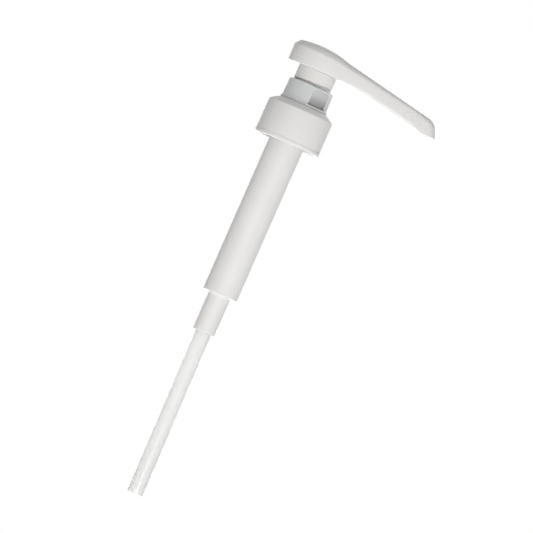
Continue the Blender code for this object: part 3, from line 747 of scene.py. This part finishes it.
# Painted shade: the plastic is greyed towards this colour as it sinks below the collar's side.
tint = add(
    tree,
    "ShaderNodeMix",
    {"Factor": painted_shade, 6: unshaded_tint, 7: linear("ACACAA")},
    data_type="RGBA",
).outputs[2]
tree.links.new(tint, shader.inputs["Base Color"])
ride(seat(collar, "lock_collar", "chaplet", pocket_shaded_plastic), "chaplet")

# %% [markdown]
# A rubber wiper in the collar's floor keeps sauce off the stem. Its inner lip is thin.

# %% Wiper ring
WIPER_LIP_RISE = 0.3
WIPER_LIP_WIDTH = 0.9
wiper_radius, wiper_low, wiper_high = reach("stem_wiper")
wiper = turn(
    [
        (STEM_GUIDE, wiper_low + WIPER_LIP_RISE, 0.1),
        (STEM_GUIDE + WIPER_LIP_WIDTH, wiper_low, 0.1),
        (wiper_radius, wiper_low, 0.2),
        (wiper_radius, wiper_high, 0.2),
        (STEM_GUIDE, wiper_high, 0.15),
    ]
)
ride(seat(wiper, "wiper_ring", "stem_wiper"), "stem_wiper")

# %% [markdown]
# The neck under the head is a sleeve with the lock groove on its lower half. Screwed down, only the
# groove's last stretch shows, climbing to the right just over the collar.

# %% Threaded neck
NECK_WALL = 1.7
GROOVE_PITCH = 4.2
GROOVE_TURNS = 1.5
GROOVE_START = -165.0
GROOVE_LOW = 16.8
GROOVE_WIDTH = 2.9
GROOVE_DEPTH = 1.3
GROOVE_OVERCUT = 0.1

neck_radius, neck_low, neck_high = reach("lock_sleeve")
neck_bore = neck_radius - NECK_WALL
neck = sleeve(neck_bore, neck_radius, neck_low, neck_high, (0.3, 0.5, 0.3, 0.3))
outline = thread_outline(
    neck_radius + GROOVE_OVERCUT, neck_radius - GROOVE_DEPTH, GROOVE_LOW, GROOVE_WIDTH
)
groove = helix(outline, GROOVE_START, GROOVE_PITCH, GROOVE_TURNS)
ride(seat(combined(neck, groove), "threaded_neck", "lock_sleeve"), "lock_sleeve")

# %% [markdown]
# The barrel is a long tube with a flange under the cap. A small hole near its top lets air into the
# jug as the sauce goes out.

# %% Pump barrel
BARREL_RADIUS = 11.0
BARREL_BORE = 9.75
BARREL_DRAFT = 0.1
FLANGE_LOW = 1.8
VENT_HEIGHT = -6.0
VENT_RADIUS = 0.8
VENT_OVERCUT = 1.0

flange_radius, barrel_low, flange_high = reach("barrel")
barrel = turn(
    [
        (BARREL_BORE, flange_high, 0.3),
        (flange_radius, flange_high, 0.3),
        (flange_radius, FLANGE_LOW, 0.3),
        (BARREL_RADIUS, FLANGE_LOW, 0.6),
        (BARREL_RADIUS - BARREL_DRAFT, barrel_low, 0.5),
        (BARREL_BORE, barrel_low, 0.2),
    ]
)
inside = (0, BARREL_BORE - VENT_OVERCUT, VENT_HEIGHT)
outside = (0, BARREL_RADIUS + VENT_OVERCUT, VENT_HEIGHT)
vent = drill(inside, outside, VENT_RADIUS, VENT_RADIUS, steps=24)
ride(seat(combined(barrel, vent), "pump_barrel", "barrel"), "barrel")

# %% [markdown]
# The foot valve plugs the barrel's lower end. Its cone seats the inlet ball, a groove holds its
# rubber ring, and the long socket under it takes the dip tube. A soft fillet joins socket and plug.

# %% Foot valve
SOCKET_RADIUS = 6.9
SOCKET_DRAFT = 0.05
SOCKET_BORE = 5.3
TUBE_STOP = -122.1
INLET_THROAT = 2.65
INLET_SEAT = -108.8
CAGE_BORE = 4.35
RING_GROOVE = 7.75
RING_HALF = 1.0
RING_HEIGHT = -109.8

plug_radius, socket_low, plug_high = reach("foot_valve_body")
valve = turn(
    [
        (CAGE_BORE, plug_high, 0.2),
        (plug_radius, plug_high, 0.3),
        (plug_radius, RING_HEIGHT + RING_HALF, 0.1),
        (RING_GROOVE, RING_HEIGHT + RING_HALF, 0.1),
        (RING_GROOVE, RING_HEIGHT - RING_HALF, 0.1),
        (plug_radius, RING_HEIGHT - RING_HALF, 0.1),
        (plug_radius, barrel_low, 0.2),
        (SOCKET_RADIUS, barrel_low, 1.4),
        (SOCKET_RADIUS - SOCKET_DRAFT, socket_low, 0.5),
        (SOCKET_BORE, socket_low, 0.35),
        (SOCKET_BORE, TUBE_STOP, 0.0),
        (INLET_THROAT, TUBE_STOP, 0.3),
        (INLET_THROAT, INLET_SEAT, 0.2),
        (CAGE_BORE, INLET_SEAT + CAGE_BORE - INLET_THROAT, 0.0),
    ]
)
ride(seat(valve, "foot_valve", "foot_valve_body"), "foot_valve_body")

# %% [markdown]
# Two O-rings seal the stem in the head and the plug in the barrel. An O-ring is a small circle spun
# round the axis, which Blender also has as a torus. The spin keeps all the round pieces alike.

# %% O-rings
def ring_form(radius, section, height):
    """A round cord of rubber, spun once round the axis."""
    form = bmesh.new()
    circle = bmesh.ops.create_circle(form, segments=20, radius=section * MM)["verts"]
    bmesh.ops.rotate(form, verts=circle, matrix=Matrix.Rotation(math.pi / 2, 3, "X"))
    bmesh.ops.translate(form, verts=circle, vec=Vector((radius, 0.0, height)) * MM)
    bmesh.ops.spin(
        form,
        geom=circle + form.edges[:],
        axis=(0.0, 0.0, 1.0),
        angle=math.tau,
        steps=ROUND_STEPS,
        use_merge=True,
    )
    bmesh.ops.recalc_face_normals(form, faces=form.faces)
    return form


for name, node in (("foot_seal", "foot_seal_ring"), ("stem_seal", "stem_o_ring")):
    outer, low, high = reach(node)
    section = (high - low) / 2
    ride(seat(ring_form(outer - section, section, (low + high) / 2), name, node), node)

# %% [markdown]
# The dip tube is one length of extruded tube, cut square. It was cut from a coil, so it hangs with a
# slight lean, which the CAD tube has too.

# %% Dip tube
TUBE_WALL = 1.0
TUBE_RADIUS = 5.0
TUBE_PIVOT = -135.6
TUBE_LEAN = math.radians(-0.65)
TUBE_TRIM = 0.05  # taken off both ends, as the lean tips their rims

_, tube_low, tube_high = reach("dip_tube")
tube_low, tube_high = tube_low + TUBE_TRIM, tube_high - TUBE_TRIM
tube = sleeve(TUBE_RADIUS - TUBE_WALL, TUBE_RADIUS, tube_low, tube_high, (0.15, 0.2, 0.2, 0.15))
bmesh.ops.rotate(
    tube,
    verts=tube.verts,
    cent=(0.0, 0.0, TUBE_PIVOT * MM),
    matrix=Matrix.Rotation(TUBE_LEAN, 3, "Y"),
)
ride(seat(tube, "milky_dip_tube", "dip_tube"), "dip_tube")

# %% [markdown]
# The stem is the hollow rod that carries the head and the piston. It shows when the pump is up. Near
# its top are a groove for its O-ring and the seat of the outlet ball.

# %% Hollow stem
STEM_RADIUS = 6.2
STEM_BORE = 3.8
SHOULDER_LOW = -66.3
SHOULDER_HIGH = -64.8
SEAL_HEIGHT = 35.7
SEAL_HALF = 0.8
SEAL_GROOVE = 4.9
OUTLET_THROAT = 2.1
OUTLET_GAP = 0.3  # between the resting ball and its cone
OUTLET_WALL = 1.5

shoulder, stem_low, stem_high = reach("stem")
ball_low, ball_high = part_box("outlet_ball")
ball_radius = (ball_high.z - ball_low.z) / 2 / MM
ball_middle = ball_low.z / MM + ball_radius
outlet_seat = ball_middle + OUTLET_THROAT - math.sqrt(2) * (ball_radius + OUTLET_GAP)
stem = turn(
    [
        (STEM_BORE, stem_high, 0.3),
        (STEM_RADIUS, stem_high, 0.4),
        (STEM_RADIUS, SEAL_HEIGHT + SEAL_HALF, 0.1),
        (SEAL_GROOVE, SEAL_HEIGHT + SEAL_HALF, 0.1),
        (SEAL_GROOVE, SEAL_HEIGHT - SEAL_HALF, 0.1),
        (STEM_RADIUS, SEAL_HEIGHT - SEAL_HALF, 0.1),
        (STEM_RADIUS, SHOULDER_HIGH, 0.3),
        (shoulder, SHOULDER_HIGH, 0.3),
        (shoulder, SHOULDER_LOW, 0.2),
        (STEM_RADIUS, SHOULDER_LOW, 0.2),
        (STEM_RADIUS, stem_low, 0.4),
        (STEM_BORE, stem_low, 0.3),
        (STEM_BORE, outlet_seat - OUTLET_WALL, 0.0),
        (OUTLET_THROAT, outlet_seat - OUTLET_WALL, 0.2),
        (OUTLET_THROAT, outlet_seat, 0.1),
        (STEM_BORE, outlet_seat + STEM_BORE - OUTLET_THROAT, 0.0),
    ]
)
ride(seat(stem, "hollow_stem", "stem"), "stem")

# %% [markdown]
# A ring with one bar across it keeps the outlet ball in the stem.

# %% Ball keeper
KEEPER_RIM = 0.8
KEEPER_BAR = 1.1
KEEPER_BAR_LIFT = 0.05
keeper_radius, keeper_low, keeper_high = reach("outlet_ball_stop")
keeper_bore = keeper_radius - KEEPER_RIM
keeper = sleeve(keeper_bore, keeper_radius, keeper_low, keeper_high, (0.15, 0.2, 0.2, 0.15))
bar_length = 2 * keeper_radius - KEEPER_RIM
bar_height = (keeper_high - keeper_low) / 2
bar_middle = keeper_low + bar_height / 2 + KEEPER_BAR_LIFT
bar = bmesh.new()
bmesh.ops.create_cube(bar, size=MM)
bmesh.ops.scale(bar, verts=bar.verts, vec=(bar_length, KEEPER_BAR, bar_height))
bmesh.ops.translate(bar, verts=bar.verts, vec=(0.0, 0.0, bar_middle * MM))
ride(seat(combined(keeper, bar, "UNION"), "ball_keeper", "outlet_ball_stop"), "outlet_ball_stop")

# %% [markdown]
# The two check balls are ground steel. An ico sphere has even faces all over, with no poles to show.

# %% Check balls
for name, node in (("outlet_check_ball", "outlet_ball"), ("inlet_check_ball", "inlet_ball")):
    low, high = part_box(node)
    ball = bmesh.new()
    bmesh.ops.create_icosphere(ball, subdivisions=5, radius=(high.z - low.z) / 2)
    bmesh.ops.translate(ball, verts=ball.verts, vec=(0.0, 0.0, (low.z + high.z) / 2))
    ride(seat(ball, name, node), node)

# %% [markdown]
# The piston is a rubber cup with a lip at each end, held on the stem by a plastic plug. Under it, a
# steel plate takes the push of the spring.

# %% Piston seal
CUP_HUB = 7.4
LIP_WALL = 0.7
LIP_HEIGHT = 1.8
LIP_GROOVE = 2.6

cup_radius, cup_low, cup_high = reach("piston_cup")
waist = cup_radius - LIP_WALL
groove = (CUP_HUB + waist) / 2
cup = turn(
    [
        (cup_radius, cup_high, 0.15),
        (cup_radius, cup_high - LIP_HEIGHT, 0.4),
        (waist, cup_high - LIP_HEIGHT - LIP_WALL, 0.4),
        (waist, cup_low + LIP_HEIGHT + LIP_WALL, 0.4),
        (cup_radius, cup_low + LIP_HEIGHT, 0.4),
        (cup_radius, cup_low, 0.15),
        (waist, cup_low, 0.1),
        (groove, cup_low + LIP_GROOVE, 0.2),
        (CUP_HUB, cup_low, 0.15),
        (STEM_GUIDE, cup_low, 0.15),
        (STEM_GUIDE, cup_high, 0.15),
        (CUP_HUB, cup_high, 0.15),
        (groove, cup_high - LIP_GROOVE, 0.2),
        (waist, cup_high, 0.1),
    ]
)
ride(seat(cup, "piston_seal", "piston_cup"), "piston_cup")

# %% Piston plug
PLUG_SPIGOT = 3.5
PLUG_WALL = 1.2
PLUG_FLANGE = 2.0

disc_radius, disc_low, spigot_high = reach("piston_retainer")
disc_high = disc_low + PLUG_FLANGE
plug = turn(
    [
        (PLUG_SPIGOT, spigot_high, 0.4),
        (PLUG_SPIGOT, disc_high, 0.2),
        (disc_radius, disc_high, 0.3),
        (disc_radius, disc_low, 0.3),
        (PLUG_SPIGOT - PLUG_WALL, disc_low, 0.2),
        (PLUG_SPIGOT - PLUG_WALL, spigot_high, 0.2),
    ]
)
ride(seat(plug, "piston_plug", "piston_retainer"), "piston_retainer")

# %% Spring plate
PLATE_WIDTH = 3.2
plate_radius, plate_low, plate_high = reach("spring_washer")
plate_bore = plate_radius - PLATE_WIDTH
plate = sleeve(plate_bore, plate_radius, plate_low, plate_high, (0.1, 0.1, 0.15, 0.15))
ride(seat(plate, "spring_plate", "spring_washer"), "spring_washer")

# %% [markdown]
# The return spring is one wire, wound eleven times round, so the outline that climbs the helix is a
# small circle. When the head rises, the spring opens: its foot stays with the barrel and its top
# goes with the piston. Every vertex takes the share of the wire's centre beside it, so the coils
# part while the wire stays round.

# %% Return spring
WIRE_RADIUS = 0.6
COIL_TURNS = 11
WIRE_SIDES = 14

coil_radius, coil_low, coil_high = reach("return_spring")
wire = []
for i in range(WIRE_SIDES):
    angle = math.tau * i / WIRE_SIDES
    wire.append(
        (
            coil_radius - WIRE_RADIUS * (1 - math.cos(angle)),
            coil_low + WIRE_RADIUS * (1 + math.sin(angle)),
        )
    )
coil_pitch = (coil_high - coil_low - 2 * WIRE_RADIUS) / COIL_TURNS
coil = helix(wire, 0.0, coil_pitch, COIL_TURNS)
spring = seat(coil, "coil_spring", "return_spring")
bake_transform(spring, "housing", "plunger", start=(0, 0, coil_low * MM), end=(0, 0, coil_high * MM))

weights = spring.data.attributes["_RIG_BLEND"].data
for vert in spring.data.vertices:
    turned = math.atan2(vert.co.y, vert.co.x) / math.tau % 1.0
    lap = round((vert.co.z / MM - coil_low - WIRE_RADIUS) / coil_pitch - turned)
    share = min(max((lap + turned) / COIL_TURNS, 0.0), 1.0)
    weights[vert.index].value = share * share * (3 - 2 * share)
print("the spring opens between", round(coil_low, 1), "and", round(coil_high, 1), "mm")

# %% [markdown]
# The cage over the inlet ball sits on the plug, and the spring stands on its flange. Two slots cut
# crosswise let the sauce past the ball.

# %% Ball cage
CAGE_RADIUS = 5.65
CAGE_FLANGE = 1.2
CAGE_ROOF = 1.2
CAGE_WINDOW = 3.0
WINDOW_MARGIN = 0.3
WINDOW_OVERCUT = 1.0

cage_flange, cage_low, cage_high = reach("inlet_ball_cage")
flange_top = cage_low + CAGE_FLANGE
roof = cage_high - CAGE_ROOF
cage = turn(
    [
        (CAGE_BORE, cage_low, 0.2),
        (cage_flange, cage_low, 0.2),
        (cage_flange, flange_top, 0.3),
        (CAGE_RADIUS, flange_top, 0.2),
        (CAGE_RADIUS, cage_high, 0.6),
        (INLET_THROAT, cage_high, 0.3),
        (INLET_THROAT, roof, 0.1),
        (CAGE_BORE, roof, 0.1),
    ]
)
window_low = flange_top + WINDOW_MARGIN
window_high = roof - WINDOW_MARGIN
window_middle = (window_low + window_high) / 2
slot_length = 2 * CAGE_RADIUS + 2 * WINDOW_OVERCUT
for size in ((slot_length, CAGE_WINDOW), (CAGE_WINDOW, slot_length)):
    window = bmesh.new()
    bmesh.ops.create_cube(window, size=MM)
    bmesh.ops.scale(window, verts=window.verts, vec=(*size, window_high - window_low))
    bmesh.ops.translate(window, verts=window.verts, vec=(0.0, 0.0, window_middle * MM))
    cage = combined(cage, window)
ride(seat(cage, "ball_cage", "inlet_ball_cage"), "inlet_ball_cage")

# %% [markdown]
# The pressing head is the one piece that isn't round. Seen from above it is a disc for the palm,
# drawn out into a tapering spout. It could be carved from a subdivided cage, but its outline has to
# stay exact, so it is written as a formula: a circle slides and shrinks from hub to nose.
# Rows of that outline, each drawn in and lifted a little, climb from the underside round the edges
# to the crown. Each row is extruded from the last, and the half is mirrored.

# %% Outline of the head
NOSE_RADIUS = 5.0
HUB_STEPS = 60
SIDE_STEPS = 56
NOSE_STEPS = 16
NOSE_LEAN = math.tan(math.radians(23.0))

head_low, head_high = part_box("pump_head")
hub_radius = -head_low.x / MM
nose_x = head_high.x / MM - NOSE_RADIUS
mouth_height = head_low.z / MM
hub_top = head_high.z / MM
swivel = next(joint for joint in frame["joints"] if joint["name"] == "spout_swivel")
hub_bottom = swivel["pos_m"][2] / MM
side_angle = math.pi / 2 - math.asin((hub_radius - NOSE_RADIUS) / nose_x)

stations = []
for i in range(HUB_STEPS):
    stations.append((0.0, hub_radius, math.pi + (side_angle - math.pi) * i / HUB_STEPS))
for i in range(SIDE_STEPS):
    share = i / SIDE_STEPS
    stations.append((nose_x * share, hub_radius + (NOSE_RADIUS - hub_radius) * share, side_angle))
for i in range(NOSE_STEPS + 1):
    stations.append((nose_x, NOSE_RADIUS, side_angle * (1 - i / NOSE_STEPS)))
print(len(stations), "stations from the hub's back to the nose")

# %% [markdown]
# The crown is a low dome over the hub that runs out into the spout's straight ridge. The underside
# is flat under the hub and slopes down to the mouth. The upper edge is a broad bevel at the back and
# a tighter round along the spout. The lower edge is crisp at the hub and the mouth, and soft between
# them.

# %% Surfaces of the head
CROWN_TOP = -4.0
CROWN_RADIUS = 65.0
RIDGE_START = -0.2
RIDGE_SLOPE = math.tan(math.radians(10.8))
RUN_OUT = 9.0
BACK_LEG, BACK_ROUND = 2.6, 0.9
SPOUT_LEG, SPOUT_ROUND = 1.3, 2.2
NOSE_LEG, NOSE_ROUND = 2.0, 3.4
UPPER_BLEND = 8.0  # length over which the upper edge changes
HUB_EDGE = 0.8  # round of the lower edge at the hub
SOFTER, SOFTER_RUN = 1.8, 12.0  # added to it along the spout
CRISPER, CRISPER_RUN, MOUTH_EDGE_RUN = 2.2, 14.0, 4.0  # and taken off before the mouth
MOUTH_START = nose_x - NOSE_RADIUS


def eased(value, low, high):
    """Rises smoothly from 0 at low to 1 at high."""
    share = min(max((value - low) / (high - low), 0.0), 1.0)
    return share * share * (3 - 2 * share)


def crown(x, y):
    dome = hub_top - (x - CROWN_TOP) ** 2 / (2 * CROWN_RADIUS)
    ridge = hub_top - RIDGE_SLOPE * (x - RIDGE_START)
    return dome + (ridge - dome) * eased(x, RUN_OUT, hub_radius) - y**2 / (2 * CROWN_RADIUS)


def underside(x):
    share = min(max((x - hub_radius) / (MOUTH_START - hub_radius), 0.0), 1.0)
    return hub_bottom + (mouth_height - hub_bottom) * share


def upper_edge(x, angle):
    """How far the upper edge is drawn in and sunk, where its surface has turned by this angle."""
    spout = min(max((x + hub_radius) / (2 * hub_radius + UPPER_BLEND), 0.0), 1.0)
    nose = eased(x, nose_x - UPPER_BLEND, nose_x)
    leg = BACK_LEG + (SPOUT_LEG - BACK_LEG) * spout + (NOSE_LEG - SPOUT_LEG) * nose
    rounding = BACK_ROUND + (SPOUT_ROUND - BACK_ROUND) * spout + (NOSE_ROUND - SPOUT_ROUND) * nose
    length = leg + (math.sqrt(2) - 1) * rounding
    if angle < math.pi / 4:
        return rounding * (1 - math.cos(angle)), length - rounding * math.sin(angle)
    return length - rounding * math.cos(angle), rounding * (1 - math.sin(angle))


def lower_round(x):
    softer = SOFTER * eased(x, hub_radius, hub_radius + SOFTER_RUN)
    crisper = CRISPER * eased(x, nose_x - CRISPER_RUN, nose_x - MOUTH_EDGE_RUN)
    return HUB_EDGE + softer - crisper


print("ridge over the mouth:", round(crown(MOUTH_START, 0.0), 2), "mm")

# %% Rows of the head
LOWER_ROWS = 5
UPPER_ROWS = 9
CROWN_ROWS = 12
LEAN_PASSES = 4


def row(inset, height):
    """The outline drawn in by inset and lifted to height. The nose leans back as it rises."""
    points = []
    for centre, radius, angle in stations:
        kept = radius - inset(centre + radius * math.cos(angle))
        x = centre + kept * math.cos(angle)
        y = kept * math.sin(angle)
        leaned = x
        for _ in range(LEAN_PASSES):
            leaned = x - NOSE_LEAN * centre / nose_x * (height(leaned, y) - mouth_height)
        points.append(Vector((leaned, y, height(leaned, y))))
    points[0].y = points[-1].y = 0.0
    return points


rows = []
for i in range(LOWER_ROWS + 1):
    angle = math.pi / 2 * i / LOWER_ROWS
    drawn_in, lifted = 1 - math.sin(angle), 1 - math.cos(angle)
    rows.append(
        row(
            lambda x: lower_round(x) * drawn_in,
            lambda x, y: underside(x) + lower_round(x) * lifted,
        )
    )
for i in range(UPPER_ROWS + 1):
    angle = math.pi / 2 * i / UPPER_ROWS
    rows.append(
        row(
            lambda x: upper_edge(x, angle)[0],
            lambda x, y: crown(x, y) - upper_edge(x, angle)[1],
        )
    )
brow = rows[-1]
for i in range(1, CROWN_ROWS + 1):
    share = 1 - i / CROWN_ROWS
    rows.append([Vector((p.x, p.y * share, crown(p.x, p.y * share))) for p in brow])
rows.insert(0, [Vector((p.x, 0.0, p.z)) for p in rows[0]])
print(len(rows), "rows of", len(stations), "points")

# %% Shell of the head
half = bmesh.new()
number = half.verts.layers.int.new("station")
line = [half.verts.new(point * MM) for point in rows[0]]
for i, vert in enumerate(line):
    vert[number] = i
strip = [half.edges.new(pair) for pair in zip(line, line[1:])]
for points in rows[1:]:
    grown = bmesh.ops.extrude_edge_only(half, edges=strip)["geom"]
    strip = [item for item in grown if isinstance(item, bmesh.types.BMEdge)]
    for vert in (item for item in grown if isinstance(item, bmesh.types.BMVert)):
        vert.co = points[vert[number]] * MM
bmesh.ops.remove_doubles(half, verts=half.verts, dist=TOUCH)
everything = half.verts[:] + half.edges[:] + half.faces[:]
bmesh.ops.mirror(half, geom=everything, axis="Y", merge_dist=TOUCH)
bmesh.ops.recalc_face_normals(half, faces=half.faces)
print("head shell:", len(half.faces), "faces")

# %% [markdown]
# Inside, the head has stepped sockets for neck and stem, a chamber over the outlet ball, a duct down
# the spout and a hole at the mouth. All of these are cutters that are turned or drilled.

# %% Sockets, duct and mouth of the head
CHAMBER_TOP = 42.8
STEM_SOCKET_TOP = 38.6
NECK_SOCKET_TOP = 33.6
NECK_SOCKET = 12.3
DUCT_START = 3.1
DUCT_END = 2.7
MOUTH_SETBACK = 0.6
MOUTH_X = nose_x - MOUTH_SETBACK
MOUTH_HOLE = 3.1
MOUTH_HOLE_DEPTH = 4.4
MOUTH_EDGE = 0.35
SOCKET_OVERCUT = 3.0
below = hub_bottom - SOCKET_OVERCUT

sockets = turn(
    [
        (0.0, CHAMBER_TOP, 0.0),
        (STEM_BORE, CHAMBER_TOP, 0.8),
        (STEM_BORE, STEM_SOCKET_TOP, 0.0),
        (STEM_GUIDE, STEM_SOCKET_TOP, 0.0),
        (STEM_GUIDE, NECK_SOCKET_TOP, 0.0),
        (NECK_SOCKET, NECK_SOCKET_TOP, 0.0),
        (NECK_SOCKET, below, 0.0),
        (0.0, below, 0.0),
    ],
    closed=False,
)
head = combined(half, sockets)

duct_high = (CHAMBER_TOP + STEM_SOCKET_TOP) / 2
duct_low = (crown(MOUTH_X, 0.0) + underside(MOUTH_X)) / 2
duct = drill((0, 0, duct_high), (MOUTH_X, 0, duct_low), DUCT_START, DUCT_END)
head = combined(head, duct)
mouth = turn(
    [
        (0.0, mouth_height + MOUTH_HOLE_DEPTH, 0.0),
        (MOUTH_HOLE, mouth_height + MOUTH_HOLE_DEPTH, 0.0),
        (MOUTH_HOLE, mouth_height + MOUTH_EDGE, 0.0),
        (MOUTH_HOLE + 2 * MOUTH_EDGE, mouth_height - MOUTH_EDGE, 0.0),
        (0.0, mouth_height - MOUTH_EDGE, 0.0),
    ],
    steps=48,
    closed=False,
)
bmesh.ops.translate(mouth, verts=mouth.verts, vec=(MOUTH_X * MM, 0.0, 0.0))
head = combined(head, mouth)
ride(seat(head, "pressing_head", "pump_head"), "pump_head")

# %% [markdown]
# The studio has a broad soft lamp in front, a little to the right and set low, so that undersides are
# bright and tops fall into shade. Two more, behind and below, keep the back from going grey, and
# faint ones stand above and at the sides. A pale floor lies well below. What the camera sees behind
# the pump, in a shine or through the tube, is plain white, which the Light Path node can tell apart
# from the light that falls on the pump, so that light stays at a plain level.

# %% World
AMBIENT = 0.31


def seen_or_mirrored(tree):
    """1 for rays that show the backdrop, straight, in a shine or through the tube, and else 0."""
    path = add(tree, "ShaderNodeLightPath").outputs
    rays = path["Is Camera Ray"]
    for other in ("Is Glossy Ray", "Is Transmission Ray"):
        rays = add(tree, "ShaderNodeMath", {0: rays, 1: path[other]}, operation="MAXIMUM").outputs[0]
    return rays


world = bpy.data.worlds.new("studio")
bpy.context.scene.world = world
world.use_nodes = True
sky = world.node_tree
sky.nodes.clear()
seen = seen_or_mirrored(sky)
level = add(sky, "ShaderNodeMapRange", {"Value": seen, "To Min": AMBIENT, "To Max": 1.0})
backdrop = add(
    sky,
    "ShaderNodeBackground",
    {"Color": linear("FFFFFF"), "Strength": level.outputs["Result"]},
)
add(sky, "ShaderNodeOutputWorld", {"Surface": backdrop.outputs["Background"]})
print("ambient light", AMBIENT)

# %% Floor
FLOOR_HEIGHT = -4500.0
FLOOR_SIZE = 12000.0
floor_finish, tree = blank_finish("pale_studio_floor")
glow = add(
    tree,
    "ShaderNodeEmission",
    {"Color": linear("FFFFFF"), "Strength": seen_or_mirrored(tree)},
)
matt = add(tree, "ShaderNodeBsdfDiffuse", {"Color": linear("DCDCDC")})
both = add(tree, "ShaderNodeAddShader", {0: glow.outputs[0], 1: matt.outputs[0]})
add(tree, "ShaderNodeOutputMaterial", {"Surface": both.outputs[0]})
sheet = bmesh.new()
bmesh.ops.create_grid(sheet, x_segments=1, y_segments=1, size=FLOOR_SIZE / 2 * MM)
bmesh.ops.translate(sheet, verts=sheet.verts, vec=(0.0, 0.0, FLOOR_HEIGHT * MM))
floor = new_object(sheet, "studio_floor")
floor.data.materials.append(floor_finish)
print("floor at", FLOOR_HEIGHT, "mm")

# %% Lamps
LAMP_DISTANCE = 2.0  # in metres, as a lamp's size is
AIM = Vector((0.01, 0.0, -0.05))


def lamp(name, azimuth, elevation, size, power):
    """A square soft lamp that faces the pump. Its azimuth is 0 in front, and its power in watts."""
    light = bpy.data.lights.new(name, "AREA")
    light.shape = "SQUARE"
    light.size = size
    light.energy = power
    item = bpy.data.objects.new(name, light)
    bpy.context.scene.collection.objects.link(item)
    round_by, lift = math.radians(azimuth), math.radians(elevation)
    across = math.cos(lift)
    out = Vector((math.sin(round_by) * across, -math.cos(round_by) * across, math.sin(lift)))
    item.location = AIM + out * LAMP_DISTANCE
    item.rotation_euler = out.to_track_quat("Z", "Y").to_euler()
    item.visible_camera = False
    item.visible_transmission = False
    print(name, "at", [round(c, 2) for c in item.location], power, "W")


# azimuth and elevation in degrees, size in metres, power in watts
lamp("key", 10.0, -30.0, 1.4, 30.0)
lamp("left", -85.0, 0.0, 1.0, 2.0)
lamp("right", 85.0, 0.0, 1.0, 2.0)
lamp("back", 180.0, -12.0, 1.4, 24.0)
lamp("above", 0.0, 50.0, 1.4, 5.0)
lamp("below", 180.0, -80.0, 1.4, 22.0)

# %% [markdown]
# The camera stands four metres off with a long lens, a touch below the pump, and is rolled so that
# the pump leans to the right. The frame is square, and its width is the real width that it shows.

# %% Camera
CAMERA_DISTANCE = 4.0
FRAME_WIDTH = 0.3198
ROLL = math.radians(23.75)
ELEVATION = math.radians(-1.5)
TARGET = Vector((0.01876, 0.0, -0.08876))

lens = bpy.data.cameras.new("photo_lens")
lens.sensor_width = 36.0
lens.lens = lens.sensor_width * CAMERA_DISTANCE / FRAME_WIDTH
camera = bpy.data.objects.new("photo_camera", lens)
bpy.context.scene.collection.objects.link(camera)
back = Vector((0.0, -math.cos(ELEVATION), math.sin(ELEVATION)))
level_right = Vector((1.0, 0.0, 0.0))
level_up = back.cross(level_right)
right = level_right * math.cos(ROLL) + level_up * math.sin(ROLL)
up = level_up * math.cos(ROLL) - level_right * math.sin(ROLL)
place = Matrix((right, up, back)).transposed().to_4x4()
place.translation = TARGET + back * CAMERA_DISTANCE
camera.matrix_world = place
bpy.context.scene.camera = camera
bpy.context.scene.view_settings.view_transform = "Standard"
print("lens", round(lens.lens, 1), "mm")
